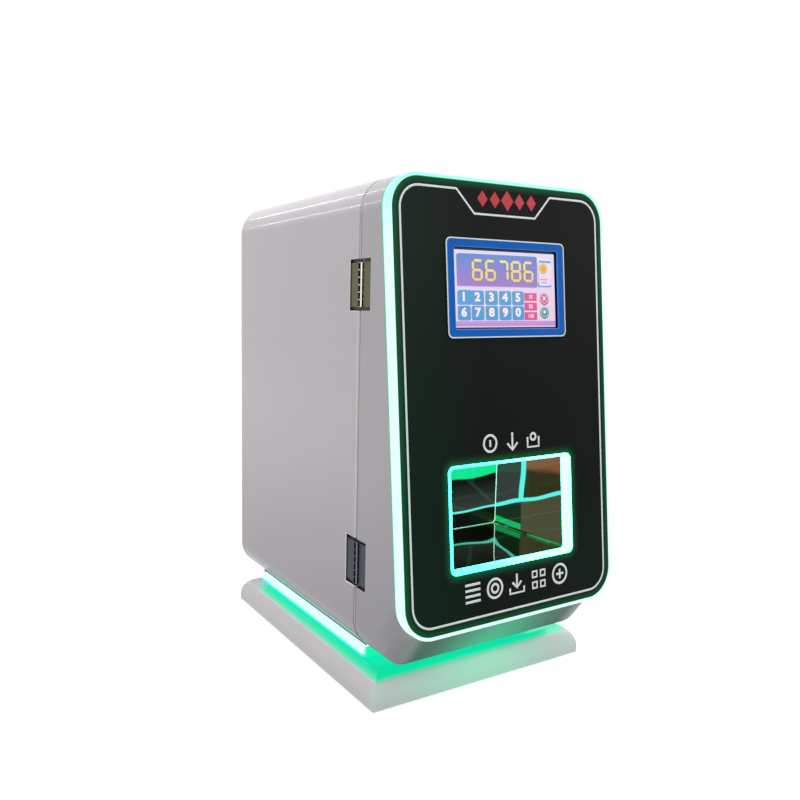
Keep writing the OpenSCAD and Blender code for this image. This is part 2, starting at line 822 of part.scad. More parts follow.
module exit_roller() color("whitesmoke") translate([roller_at[0], roller_at[1], roller_z]) difference() {
    cylinder(r = roller_r, h = roller_t);
    translate([0, 0, past - loose_fit]) cylinder(r = roller_pin_r + run_fit, h = roller_t);
}

// Leaf spring behind the arm's tail, on a post of its own
module arm_spring() color("silver") {
    thin = 0.8;
    post = 7;
    long = 22;
    lap = 5;
    side = arm_w / 2 + loose_fit;
    translate([arm_pivot[0], arm_pivot[1], 0]) rotate([0, 0, arm_turn + 180]) {
        translate([tail_len - lap, side, arm_z]) cube([long, thin, arm_t]);
        translate([tail_len - lap + long - post, side, deck_z]) cube([post, post, arm_z + arm_t - deck_z]);
    }
}

// Electrics in the lower compartment
module power_supply() color("silver") difference() {
    slots = 8;
    slot_w = 6;
    slot_in = 20;
    pitch = psu_w / slots;
    step_d = 12;
    step_h = 18;
    translate([psu_x, psu_y, floor_z]) cube([psu_w, psu_d, psu_h]);
    for (i = [0 : slots - 1])
        translate([psu_x + (i + 0.5) * pitch - slot_w / 2, psu_y + slot_in, floor_z + psu_h - past])
            cube([slot_w, psu_d - 2 * slot_in, 2 * past]);
    translate([psu_x - past, psu_y - past, floor_z + psu_h - step_h])
        cube([psu_w + 2 * past, step_d + past, step_h + past]);
}

module control_board() color("seagreen") difference() {
    relay = [16, 18, 16];
    terminal = [12, 70, 12];
    chip = [3, 28, 14];
    can_r = 5;
    can_h = 14;
    side = 14;
    pitch = 24;
    union() {
        translate([board_x, board_y, board_z]) cube([board_t, board_w, board_h]);
        for (i = [0 : 3])
            translate([board_x - relay[0], board_y + side + i * pitch, board_z + board_h - pitch - side])
                cube(relay);
        translate([board_x - terminal[0], board_y + side, board_z + 2 * board_edge]) cube(terminal);
        translate([board_x - chip[0], board_y + side + pitch, board_z + 2 * side]) cube(chip);
        for (i = [1 : 2]) translate([0, board_y + board_w - side - can_r, board_z + i * pitch])
            bar_x(board_x - can_h, board_x, can_r);
    }
    for (p = board_holes) translate([0, p[0], p[1]])
        bar_x(board_x - past, board_x + board_t + past, screw_r + run_fit);
}

module board_standoffs() color("gold") for (p = board_holes) translate([0, p[0], p[1]]) {
    bar_x(board_x + board_t, inner_x, 2 * screw_r);
    bar_x(board_x - 2 * past, inner_x - board_gap + past, screw_r);
}

// Mains inlet with its switch
module power_inlet() color("black") {
    x = inlet_x;
    difference() {
        union() {
            translate([x - inlet_w / 2, rear_y + rear_t, inlet_z - inlet_h / 2])
                cube([inlet_w, inlet_t, inlet_h]);
            translate([x - inlet_body_w / 2, inlet_face - inlet_deep, inlet_z - inlet_body_h / 2])
                cube([inlet_body_w, inlet_deep, inlet_body_h]);
        }
        translate([x - socket_w / 2, inlet_face - socket_deep, socket_z - socket_h / 2])
            cube([socket_w, socket_deep + past, socket_h]);
        translate([x - rocker_w / 2 - loose_fit, inlet_face - rocker_well, rocker_z - rocker_r - loose_fit])
            cube([rocker_w + 2 * loose_fit, rocker_well + past, 2 * (rocker_r + loose_fit)]);
        pin_half = rocker_w / 2 + rocker_pin_l + past;
        translate([x, rocker_y, rocker_z]) bar_x(-pin_half, pin_half, rocker_pin_r + run_fit);
    }
    blade = [2, socket_deep - 2, 4];
    for (pin = [[-7, -1], [7, -1], [0, 3]])
        translate([x + pin[0] - 1, inlet_face - socket_deep - past, socket_z + pin[1] - 2]) cube(blade);
}

module power_rocker() color("crimson") translate([inlet_x, rocker_y, rocker_z]) {
    crest = rocker_sink + loose_fit;
    back = 3;
    block = 2 * rocker_r;
    rotate([rocker_tip, 0, 0]) difference() {
        bar_x(-rocker_w / 2, rocker_w / 2, rocker_r);
        for (up = [-1, 1]) rotate([up * rocker_tip, 0, 0])
            translate([-rocker_w, crest, up > 0 ? 0 : -block]) cube([2 * rocker_w, block, block]);
        translate([-rocker_w, -block - back, -rocker_r]) cube([2 * rocker_w, block, block]);
    }
    bar_x(-rocker_w / 2 - rocker_pin_l, rocker_w / 2 + rocker_pin_l, rocker_pin_r);
}

// Lock
module lock_body() color("silver") translate([0, lock_y, lock_z]) difference() {
    union() {
        bar_x(barrel_end, body_x + past, lock_r);
        bar_x(body_x, body_x + head_t, lock_r + lock_rim);
    }
    bar_x(barrel_end - past, body_x + head_t + past, plug_r + run_fit);
}

module lock_nut() color("silver") translate([0, lock_y, lock_z]) difference() {
    translate([inner_x - lock_nut_t, 0, 0]) rotate([0, 90, 0])
        cylinder(r = lock_r + 1.2 * lock_rim, h = lock_nut_t, $fn = 6);
    bar_x(inner_x - lock_nut_t - past, inner_x + past, lock_r + run_fit);
}

module lock_plug() color("goldenrod") translate([0, lock_y, lock_z]) difference() {
    key_w = 1.4;
    key_h = 1.3 * plug_r;
    key_deep = 8;
    union() {
        bar_x(cam_x + cam_t, body_x + head_t - loose_fit, plug_r);
        bar_x(cam_x - past, cam_x + cam_t + past, tail_r);
    }
    translate([body_x + head_t - key_deep, -key_w / 2, -key_h / 2]) cube([key_deep + past, key_w, key_h]);
}

module lock_cam() color("silver") translate([cam_x, lock_y, lock_z]) rotate([90, 0, 90]) difference() {
    down = 270;
    lead = 12;
    trail = 26;
    slot = 14;
    half_slot = striker_r + loose_fit;
    union() {
        cylinder(r = lock_r, h = cam_t);
        arc_band(plug_r, cam_far_r, down - lead, down + trail, cam_t);
    }
    translate([0, 0, -past]) arc_band(striker_reach - half_slot, striker_reach + half_slot,
        down - 2 * lead, down + slot, cam_t + 2 * past);
    translate([0, 0, -past]) cylinder(r = tail_r + run_fit, h = cam_t + 2 * past);
}

// Door
module door_shell() color("lightgray") difference() {
    union() {
        difference() {
            intersection() {
                union() {
                    along_y(y_front, door_edge_y - seam_step) body_outline(0);
                    along_y(door_edge_y - 2 * seam_step, door_edge_y) body_outline(seam_step);
                }
                layer(face_d, far);
                over_chin(0);
            }
            intersection() {
                along_y(y_front, door_edge_y - flange_t) body_outline(wall);
                layer(face_back, far);
                over_chin(wall);
            }
            along_y(door_edge_y - flange_t - past, door_edge_y + past) body_outline(flange_inset);
        }
        hinge_pads(seam_y - leaf_w - pad_rim, door_edge_y);
    }
    hinge_pockets();
    panel_block(display_w + 2 * display_room, bezel_mid, display_h + 2 * display_room, display_room,
        face_d - past, face_back + past);
    panel_block(tray_w + 2 * (tray_t + tray_room), outlet_mid, tray_h + 2 * (tray_t + tray_room),
        tray_r + tray_t, face_d - past, face_back + past);
    tray_screw_places() cylinder(r = screw_r + run_fit, h = 6 * wall, center = true);
}

module edge_light_guide() color("aquamarine") intersection() {
    along_y(y_front - past, seam_y) difference() {
        panel_outline(0);
        panel_outline(guide_rim);
    }
    layer(0, guide_d);
}

module edge_light_strip() color("white") intersection() {
    along_y(y_front - past, seam_y) difference() {
        panel_outline(guide_rim + loose_fit);
        panel_outline(guide_rim + loose_fit + strip_t);
    }
    layer(panel_back + past, guide_d);
}

module front_panel() color("black") difference() {
    intersection() {
        along_y(y_front - past, seam_y) panel_outline(guide_rim + loose_fit / 2);
        layer(panel_sink, panel_back);
    }
    panel_block(display_w + 2 * loose_fit, bezel_mid, display_h + 2 * loose_fit, window_r,
        -past, panel_back + past);
    panel_block(outlet_w + loose_fit, outlet_mid, outlet_h + loose_fit, outlet_r, -past, panel_back + past);
}

module panel_posts() color("silver") {
    in = 24;
    rows = 4;
    pitch = (panel_len - 2 * body_r) / (rows - 1);
    for (side = [-1, 1], row = [0 : rows - 1])
        on_panel(guide_d) translate([side * (body_x - in), body_r + row * pitch, 0])
            cylinder(r = post_size, h = guide_d - panel_back);
}

module screen_bezel() color("royalblue") difference() {
    panel_block(bezel_w, bezel_mid, bezel_h, bezel_r, panel_sink - bezel_t, panel_sink);
    panel_block(window_w, bezel_mid, window_h, window_r, -2 * bezel_t, 2 * bezel_t);
}

module touch_display() color("plum")
    panel_block(display_w, bezel_mid, display_h, display_r, display_front, display_back);

module display_bracket() color("silver") {
    thin = 2;
    bar_h = 12;
    post_x = display_w / 2 + display_room + 2 * post_size;
    x = post_x + post_size;
    for (up = [-1, 1]) {
        mid = bezel_mid + up * display_h / 3;
        on_panel(display_back + thin) translate([-x, mid - bar_h / 2, 0]) cube([2 * x, bar_h, thin]);
        for (side = [-1, 1]) on_panel(face_d) translate([side * post_x, mid, 0])
            cylinder(r = post_size, h = face_d - display_back - thin);
    }
}

module display_board() color("seagreen") {
    size = [120, 40];
    back = display_back + 12;
    post_r = 2.5;
    chip = [40, 24, 8];
    on_panel(back) translate([-size[0] / 2, bezel_mid - size[1] / 2, 0]) cube([size[0], size[1], board_t]);
    for (side = [-1, 1], up = [-1, 1]) on_panel(back)
        translate([side * (size[0] / 2 - board_edge), bezel_mid + up * (size[1] / 2 - board_edge), 0])
            cylinder(r = post_r, h = back - display_back);
    on_panel(back + chip[2]) translate([-chip[0] / 2, bezel_mid - chip[1] / 2, 0]) cube(chip);
}

module outlet_light_frame() color("aquamarine") difference() {
    panel_block(outlet_w, outlet_mid, outlet_h, outlet_r, -outlet_proud, outlet_d);
    panel_block(tray_w, outlet_mid, tray_h, tray_r, -past, outlet_d + past);
}

module outlet_tray() color("silver") difference() {
    union() {
        intersection() {
            along_y(y_front, tray_y + tray_t)
                rounded(tray_w + 2 * tray_t, tray_low - tray_t, tray_high + tray_t, tray_r + tray_t);
            layer(tray_start, far);
        }
        panel_block(tray_w + 2 * (tray_t + tray_flange), outlet_mid, tray_h + 2 * (tray_t + tray_flange),
            outlet_r, face_back, face_back + tray_t);
    }
    along_y(y_front - past, tray_y) rounded(tray_w, tray_low, tray_high, tray_r);
    translate([-drop_w / 2, drop_y - drop_l, tray_high - tray_t]) cube([drop_w, drop_l, 4 * tray_t]);
    tray_screw_places() cylinder(r = screw_r + run_fit, h = 6 * wall, center = true);
}

// Puts its children at each tray screw, with z pointing to the front
module tray_screw_places() {
    x = tray_w / 2 + tray_t + tray_flange / 2 + loose_fit;
    for (side = [-1, 1], up = [-0.4, 0, 0.4])
        on_panel(face_back) translate([side * x, outlet_mid + up * tray_h, 0]) children();
}

module tray_screws() color("silver") tray_screw_places() {
    head = pan_head * screw_r;
    translate([0, 0, -tray_t - head]) cylinder(r = 2 * screw_r, h = head);
    translate([0, 0, -tray_t]) cylinder(r = screw_r, h = wall + tray_t);
}

module door_hinge_leaves() color("darkolivegreen") hinge_leaves(-1, 1);

module door_hinge_nuts() color("silver") hinge_nuts(-1);

// Bracket with the striker that the cam's slot takes
module door_striker() color("silver") {
    thin = 3;
    deep = 12;
    rise = 14;
    leg_x = cam_x + cam_t + thin;
    foot_y = door_edge_y - flange_t;
    translate([leg_x, foot_y - deep, lock_z - rise]) cube([thin, deep, 2 * rise]);
    translate([leg_x, foot_y - thin, lock_z - rise]) cube([inner_x - thin - leg_x, thin, 2 * rise]);
    translate([0, lock_y - striker_reach, lock_z]) bar_x(cam_x - thin, leg_x + past, striker_r);
}

base_plinth();
base_bottom_plate();
rubber_feet();
base_screws();
neck_rails();
neck_light_tube();
body_bolts();
body_nuts();
cabinet_shell();
rear_panel();
rear_panel_screws();
door_seal();
cabinet_hinge_leaves();
hinge_pins();
cabinet_hinge_nuts();
shelf_brackets();
hopper_shelf();
hopper_base();
hopper_bowl();
disc_bearing();
drive_motor();
motor_bracket();
coin_chute();
coin_sensor();
arm_spring();
power_supply();
control_board();
board_standoffs();
power_inlet();
lock_body();
lock_nut();
door_shell();
edge_light_guide();
edge_light_strip();
front_panel();
panel_posts();
screen_bezel();
touch_display();
display_bracket();
display_board();
outlet_light_frame();
outlet_tray();
tray_screws();
door_hinge_leaves();
door_hinge_nuts();
door_striker();
lock_plug();
lock_cam();
power_rocker();
coin_disc();
disc_shaft();
disc_gear();
motor_pinion();
roller_arm();
exit_roller();
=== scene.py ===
import json
import math
import bpy
from mathutils import Matrix, Vector


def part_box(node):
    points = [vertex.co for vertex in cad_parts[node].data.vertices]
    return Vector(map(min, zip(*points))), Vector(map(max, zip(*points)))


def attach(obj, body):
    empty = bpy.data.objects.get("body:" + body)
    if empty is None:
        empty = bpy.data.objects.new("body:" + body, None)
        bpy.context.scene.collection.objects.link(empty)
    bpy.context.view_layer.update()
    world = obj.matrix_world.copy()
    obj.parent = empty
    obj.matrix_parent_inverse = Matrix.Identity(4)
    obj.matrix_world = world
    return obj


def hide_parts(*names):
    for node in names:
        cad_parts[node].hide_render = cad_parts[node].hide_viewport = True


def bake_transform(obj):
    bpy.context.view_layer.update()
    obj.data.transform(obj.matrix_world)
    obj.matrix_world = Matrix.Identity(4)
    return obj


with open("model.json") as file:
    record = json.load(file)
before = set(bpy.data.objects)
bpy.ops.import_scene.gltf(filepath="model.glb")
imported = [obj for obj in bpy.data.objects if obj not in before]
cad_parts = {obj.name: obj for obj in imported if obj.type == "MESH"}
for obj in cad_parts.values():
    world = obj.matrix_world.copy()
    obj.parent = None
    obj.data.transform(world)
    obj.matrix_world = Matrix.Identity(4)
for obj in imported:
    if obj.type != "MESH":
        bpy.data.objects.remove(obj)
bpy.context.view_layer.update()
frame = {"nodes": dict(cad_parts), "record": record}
bodies = frame["record"]["behaviour"]["bodies"]
bodyOf = {node: body for body, names in bodies.items() for node in names}
slotOf = {part["node"]: part["material_slot"] for part in frame["record"]["subparts"]}
mm = 0.001
weld = 0.002 * mm  # points nearer than this are one
# shading breaks, edges are rounded from, faces count as one within
crease, sharpFrom, flatWithin = (math.radians(angle) for angle in (40, 35, 0.4))
panelTilt = math.radians(5.4)
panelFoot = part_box("edge_light_guide")[0]
# panel space: x across, y up the slope, z out of the front, from the middle of the panel's lower edge
panelMatrix = (Matrix.Translation((0, panelFoot[1], panelFoot[2]))
               @ Matrix.Rotation(math.pi / 2 - panelTilt, 4, "X"))
print("frame loaded:", len(frame["nodes"]), "nodes")


# small helpers

def linear(hexText):
    parts = [int(hexText[i:i + 2], 16) / 255 for i in (1, 3, 5)]
    return [p / 12.92 if p <= 0.04045 else ((p + 0.055) / 1.055) ** 2.4 for p in parts] + [1.0]


def addNode(tree, kind, inputs=None, **settings):
    node = tree.nodes.new("ShaderNode" + kind)
    for name, value in settings.items():
        setattr(node, name, value)
    for name, value in (inputs or {}).items():
        if isinstance(value, bpy.types.NodeSocket):
            tree.links.new(value, node.inputs[name])
        else:
            node.inputs[name].default_value = value
    return node


def pickOnly(piece):
    bpy.ops.object.select_all(action="DESELECT")
    piece.select_set(True)
    bpy.context.view_layer.objects.active = piece


def mode(name):
    bpy.ops.object.mode_set(mode=name)


def addObject(name, data):
    made = bpy.data.objects.new(name, data)
    bpy.context.scene.collection.objects.link(made)
    return made


def editAll(piece):
    pickOnly(piece)
    mode("EDIT")
    bpy.ops.mesh.select_mode(type="VERT")
    bpy.ops.mesh.select_all(action="SELECT")


def addShape(add, place, **settings):
    # a plain shape at a place in mm
    bpy.ops.object.select_all(action="DESELECT")
    add(location=[c * mm for c in place], **settings)
    return bpy.context.object


def settle(piece, matrix=None):
    # the piece's place goes into its mesh
    pickOnly(piece)
    if matrix is not None:
        piece.matrix_world = matrix @ piece.matrix_world
    bpy.ops.object.transform_apply(location=True, rotation=True, scale=True)


def dress(piece, material, body, slot, node=None):
    piece.data.materials.clear()
    for item in material if isinstance(material, list) else [material]:
        piece.data.materials.append(item)
    if body:
        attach(piece, body)
    if node:
        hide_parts(node)


def closeUp(piece, turn=True):
    # seams merged, faces turned outward; text comes with its faces outward
    editAll(piece)
    bpy.ops.mesh.remove_doubles(threshold=weld)
    if turn:
        bpy.ops.mesh.normals_make_consistent(inside=False)
    mode("OBJECT")


def joinPieces(name, pieces, body, matrix=None, turn=True):
    pickOnly(pieces[0])
    for piece in pieces:
        piece.select_set(True)
    bpy.ops.object.join()
    joined = pieces[0]
    joined.name = name
    closeUp(joined, turn)
    settle(joined)
    if matrix is not None:
        settle(joined, matrix)
    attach(joined, body)


# materials

panelRim = {"centre": (0, 255.7), "half": (158.85, 251.5), "radius": 36}  # mm in panel space
outletRim = {"centre": (0, 127.3), "half": (95, 61.3), "radius": 8}


def newMaterial(name, sockets):
    material = bpy.data.materials.new(name)
    material.use_nodes = True
    tree = material.node_tree
    shader = tree.nodes["Principled BSDF"]
    for socket, value in sockets.items():
        shader.inputs[socket].default_value = value
    return material, tree, shader


def plug(shader, outputs):
    for socket, output in outputs.items():
        shader.id_data.links.new(output, shader.inputs[socket])


def calc(operation, *values):
    # this and the next functions add a node to the tree of their first socket
    return addNode(values[0].id_data, "Math", dict(enumerate(values)), operation=operation).outputs[0]


def calcVector(operation, *values, output=0):
    return addNode(values[0].id_data, "VectorMath", dict(enumerate(values)), operation=operation).outputs[output]


def ramp(value, start, stop, low=0.0, high=1.0, smooth=False):
    return addNode(value.id_data, "MapRange", {0: value, 1: start, 2: stop, 3: low, 4: high},
                   interpolation_type="SMOOTHSTEP" if smooth else "LINEAR").outputs[0]


def fall(value, start, stop, smooth=False):
    return ramp(value, start, stop, 1.0, 0.0, smooth)


def tint(share, first, second):
    # each colour is a hex text or a socket
    a, b = (linear(colour) if isinstance(colour, str) else colour for colour in (first, second))
    return addNode(share.id_data, "Mix", {0: share, 6: a, 7: b}, data_type="RGBA").outputs[2]


def noise(where, size, detail):
    return addNode(where.id_data, "TexNoise", {"Vector": where, "Scale": 1 / size, "Detail": detail}).outputs[0]


def relief(height, strength, distance):
    return addNode(height.id_data, "Bump", {"Height": height, "Strength": strength, "Distance": distance}).outputs[0]


def objectSpace(tree):
    return addNode(tree, "TexCoord").outputs["Object"]


def split(vector):
    return list(addNode(vector.id_data, "SeparateXYZ", {0: vector}).outputs)


def panelSpace(tree):
    return addNode(tree, "Mapping", {"Vector": objectSpace(tree), "Location": panelMatrix.translation,
                                     "Scale": (mm, mm, mm), "Rotation": (math.pi / 2 - panelTilt, 0, 0)},
                   vector_type="TEXTURE").outputs[0]


def roundedDistance(place, rim):
    # distance in mm from a rounded rectangle's edge, negative inside it
    flat = calcVector("MULTIPLY", place, (1, 1, 0))
    folded = calcVector("ABSOLUTE", calcVector("SUBTRACT", flat, (*rim["centre"], 0)))
    straight = [half - rim["radius"] for half in rim["half"]]
    corner = calcVector("SUBTRACT", folded, (*straight, 0))
    outside = calcVector("LENGTH", calcVector("MAXIMUM", corner, (0, 0, 0)), output="Value")
    x, y, _ = split(corner)
    inside = calc("MINIMUM", calc("MAXIMUM", x, y), 0.0)
    return calc("SUBTRACT", calc("ADD", outside, inside), rim["radius"])


def surface(name, pale, dull, cloudSize, grainSize, rough, bump, stretch=(1, 1, 1), **sockets):
    # two near colours in clouds, and a finer grain that moves the gloss and the bump; sizes in mm
    rise = 0.3  # height of the grain as a share of its size
    material, tree, shader = newMaterial(name, {key.replace("_", " "): value for key, value in sockets.items()})
    drawn = addNode(tree, "Mapping", {"Vector": objectSpace(tree), "Scale": stretch}).outputs[0]
    grain = noise(drawn, grainSize * mm, 2.0)
    plug(shader, {"Base Color": tint(noise(drawn, cloudSize * mm, 3.0), pale, dull),
                  "Roughness": ramp(grain, 0.0, 1.0, *rough),
                  "Normal": relief(grain, bump, grainSize * mm * rise)})
    return material


opalSockets = {"Base Color": linear("#0b2c22"), "Specular IOR Level": 0.2}


def litAcrylic(name, look):
    # opal acrylic lit from behind: the middle is too bright to keep its colour, the edges stay green
    material, tree, shader = newMaterial(name, {**opalSockets, "Roughness": 0.3})
    place = panelSpace(tree)
    parts = split(place)
    core = tint(ramp(parts[look["along"]], *look["ends"], smooth=True), *look["core"])
    if "edge" in look:
        core = tint(fall(parts[2], *look["rear"], True), core, look["edge"])
        inner = roundedDistance(place, panelRim)
        core = tint(fall(inner, *look["beside"]), core, look["edge"])
    power = ramp(noise(place, look["cloud"], 1.0), 0.0, 1.0, *look["power"])
    plug(shader, {"Emission Color": core, "Emission Strength": power})
    return material


def litNeck():
    # the tube under the body: too bright to keep its colour, cyan along its foot, green at the front
    look = {"core": "#dcffff", "foot": "#22ecd8", "front": "#0cf0b0", "power": (0.98, 1.12),
            "rise": (0.0415, 0.0462), "ahead": (-0.1095, -0.107), "cloud": 0.040}  # m
    material, tree, shader = newMaterial("litNeckAcrylic", opalSockets)
    where = objectSpace(tree)
    _, y, z = split(where)
    side = tint(ramp(z, *look["rise"], smooth=True), look["foot"], look["core"])
    power = ramp(noise(where, look["cloud"], 1.0), 0.0, 1.0, *look["power"])
    plug(shader, {"Emission Color": tint(fall(y, *look["ahead"]), side, look["front"]),
                  "Emission Strength": power})
    return material


def pictureInk(name, upper, lower, span):
    # a lit patch of the screen that changes from its lower to its upper edge, under a smooth cover
    material, tree, shader = newMaterial(name, {"Base Color": linear("#101014"), "Roughness": 0.3,
                                                "Specular IOR Level": 0.2, "Emission Strength": 0.95})
    share = ramp(split(panelSpace(tree))[1], *span)
    plug(shader, {"Emission Color": tint(share, lower, upper)})
    return material


def blackPanel():
    # cast black acrylic, some dust; painted sheen greyer above, painted green glow from the lit edge and round the
    # outlet
    look = {"upper": "#1f2021", "lower": "#040605", "creep": "#16c070", "dust": "#6f7673", "rough": (0.05, 0.14),
            "edge": 0.10, "outlet": 0.2, "fade": 2.2, "cast": 0.020, "low": 0.007,  # strengths of the green
            "greyer": (120.0, 430.0), "fromRim": (-10.0, -1.0), "fromOutlet": (0.0, 13.0),  # mm
            "castOver": (-158.0, -40.0), "lowOver": (80.0, 330.0), "dustEvery": 24, "smear": 60,
            "dustSize": (0.010, 0.018), "dustFree": 0.72}  # shares of one place for dust, share of places without
    material, tree, shader = newMaterial("blackAcrylic", {"Specular IOR Level": 0.045,
                                                          "Emission Color": linear(look["creep"])})
    place = panelSpace(tree)
    x, up, _ = split(place)
    # painted sheen: greyer towards the top
    colour = tint(ramp(up, *look["greyer"]), look["lower"], look["upper"])
    speck = addNode(tree, "TexVoronoi", {"Vector": place, "Scale": 1 / look["dustEvery"]}).outputs
    some = addNode(tree, "SeparateColor", {0: speck["Color"]}).outputs[0]
    dust = calc("MULTIPLY", fall(speck["Distance"], *look["dustSize"]),
                calc("GREATER_THAN", some, look["dustFree"]))
    # painted green glow by the lit edge, over the left, low down and round the outlet
    ring = roundedDistance(place, panelRim)
    nearRing = ramp(ring, *look["fromRim"], 0.0, look["edge"], True)
    nearOutlet = fall(roundedDistance(place, outletRim), *look["fromOutlet"])
    cast = ramp(x, *look["castOver"], look["cast"], 0.0)
    low = ramp(up, *look["lowOver"], look["low"], 0.0)
    edges = calc("ADD", nearRing, calc("ADD", cast, low))
    creep = calc("MULTIPLY_ADD", calc("POWER", nearOutlet, look["fade"]), look["outlet"], edges)
    plug(shader, {"Base Color": tint(dust, colour, look["dust"]), "Emission Strength": creep,
                  "Roughness": ramp(noise(place, look["smear"], 2.0), 0.0, 1.0, *look["rough"])})
    return material


def lacquer(name, look):
    # what the lacquers share: a clear coat, faint clouds of colour, fine orange peel
    coat = {"weight": 0.5, "coatRough": 0.06, "cloud": 0.120, "peel": 0.0025, "rough": (0.26, 0.36), "bump": 0.03,
            "deep": 0.0007}  # sizes in m
    material, tree, shader = newMaterial(name, {"Coat Weight": coat["weight"], "Coat Roughness": coat["coatRough"],
                                                "Emission Color": linear(look["light"])})
    where = objectSpace(tree)
    peel = noise(where, coat["peel"], 2.0)
    plug(shader, {"Roughness": ramp(peel, 0.0, 1.0, *coat["rough"]),
                  "Normal": relief(peel, coat["bump"], coat["deep"])})
    colour = tint(noise(where, coat["cloud"], 3.0), look["pale"], look["dull"])
    return material, shader, colour, split(where)


def litPlinth():
    # flooded with green where the light round the neck falls on its top and down its front
    look = {"pale": "#e2dde2", "dull": "#dbd6db", "flooded": "#06281c", "light": "#08f0b2", "ahead": "#cbeedb",
            "band": 0.86, "front": 0.2, "aside": 0.25,  # strengths of the green, and its share at the sides
            "high": (0.0295, 0.0345), "rear": (0.15, 0.185), "before": (-0.157, -0.146), "wide": (0.0, 0.16)}  # m
    material, shader, colour, (x, y, z) = lacquer("lacqueredAbsLit", look)
    band = calc("MULTIPLY", ramp(z, *look["high"], smooth=True), fall(y, *look["rear"]))
    middle = ramp(calc("ABSOLUTE", x), *look["wide"], 1.0, look["aside"], True)
    front = calc("MULTIPLY", fall(y, *look["before"]), middle)
    tinted = tint(front, colour, look["ahead"])
    spill = calc("MULTIPLY", front, look["front"])
    plug(shader, {"Base Color": tint(band, tinted, look["flooded"]),
                  "Emission Strength": calc("MULTIPLY_ADD", band, look["band"], spill)})
    return material


def shellLacquer(name, look):
    # lacquer of the body with painted shade: darker towards the bottom, darker and greener where it turns under,
    # and on the slope under the panel darker and greener still, with a painted green glow
    turn = {"low": (0.06, 0.36), "foot": (0.0555, 0.0605), "footColour": "#34443e",  # m
            "under": (0.1005, 0.1035), "wide": (0.112, 0.160), "slope": (0.056, 0.100), "glow": (0.56, 0.36),
            "middle": (0.0, 0.12), "aside": 0.12, "shine": (0.5, 0.03)}
    material, shader, colour, (x, _, z) = lacquer(name, {**look, "light": "#1fd69a"})
    # painted shade: darker towards the bottom, darker and greener along the foot
    shaded = tint(fall(z, *turn["low"], True), colour, look["low"])
    base = tint(fall(z, *turn["foot"], True), shaded, turn["footColour"])
    if "chin" in look:
        # painted shade on the slope under the panel, with a painted green glow
        inward = calc("ABSOLUTE", x)
        chin = calc("MULTIPLY", fall(z, *turn["under"]), fall(inward, *turn["wide"], True))
        base = tint(chin, base, look["chin"])
        near = calc("MULTIPLY", ramp(z, *turn["slope"], *turn["glow"]),
                    ramp(inward, *turn["middle"], 1.0, turn["aside"], True))
        shine = ramp(chin, 0.0, 1.0, *turn["shine"])
        plug(shader, {"Specular IOR Level": shine, "Coat Weight": shine,
                      "Emission Strength": calc("MULTIPLY", chin, near)})
    plug(shader, {"Base Color": base})
    return material


def hingeSteel():
    # plated leaves, olive above and slate below; dark round the knuckles, partly slots and partly painted shade,
    # painted highlights on them
    look = {"olive": "#66654a", "slate": "#434950", "gap": "#0b0b0a", "crest": "#dfe2dc", "dimCrest": "#6d757d",
            "rough": (0.3, 0.45), "bump": 0.12, "grain": 0.0007, "deep": 0.0002, "between": (0.30, 0.31),  # m
            "pin": 116.6, "low": 140.5, "apart": 324.0, "knuckle": 50 / 6,  # mm
            "tick": 0.55, "slot": 4.9, "line": -2.9, "lineHalf": 0.45}
    material, tree, shader = newMaterial("platedHingeSteel", {"Metallic": 1.0})
    where = objectSpace(tree)
    _, y, z = split(where)
    upper = ramp(z, *look["between"])
    leaf = tint(upper, look["slate"], look["olive"])
    crest = tint(upper, look["dimCrest"], look["crest"])
    off = calc("MULTIPLY_ADD", y, 1 / mm, look["pin"])
    high = calc("MULTIPLY_ADD", z, 1 / mm, -look["low"])
    step = calc("MULTIPLY_ADD", upper, -look["apart"], high)
    joint = calc("PINGPONG", step, look["knuckle"] / 2)
    # dark round the knuckles, partly slots and partly painted shade; a painted highlight line and ticks on them
    slot = calc("COMPARE", off, 0.0, look["slot"])
    bright = calc("MAXIMUM", calc("COMPARE", joint, 0.0, look["tick"]),
                  calc("COMPARE", off, look["line"], look["lineHalf"]))
    dark = tint(slot, leaf, look["gap"])
    grain = noise(where, look["grain"], 2.0)
    plug(shader, {"Base Color": tint(calc("MULTIPLY", slot, bright), dark, crest),
                  "Roughness": ramp(grain, 0.0, 1.0, *look["rough"]),
                  "Normal": relief(grain, look["bump"], look["deep"])})
    return material


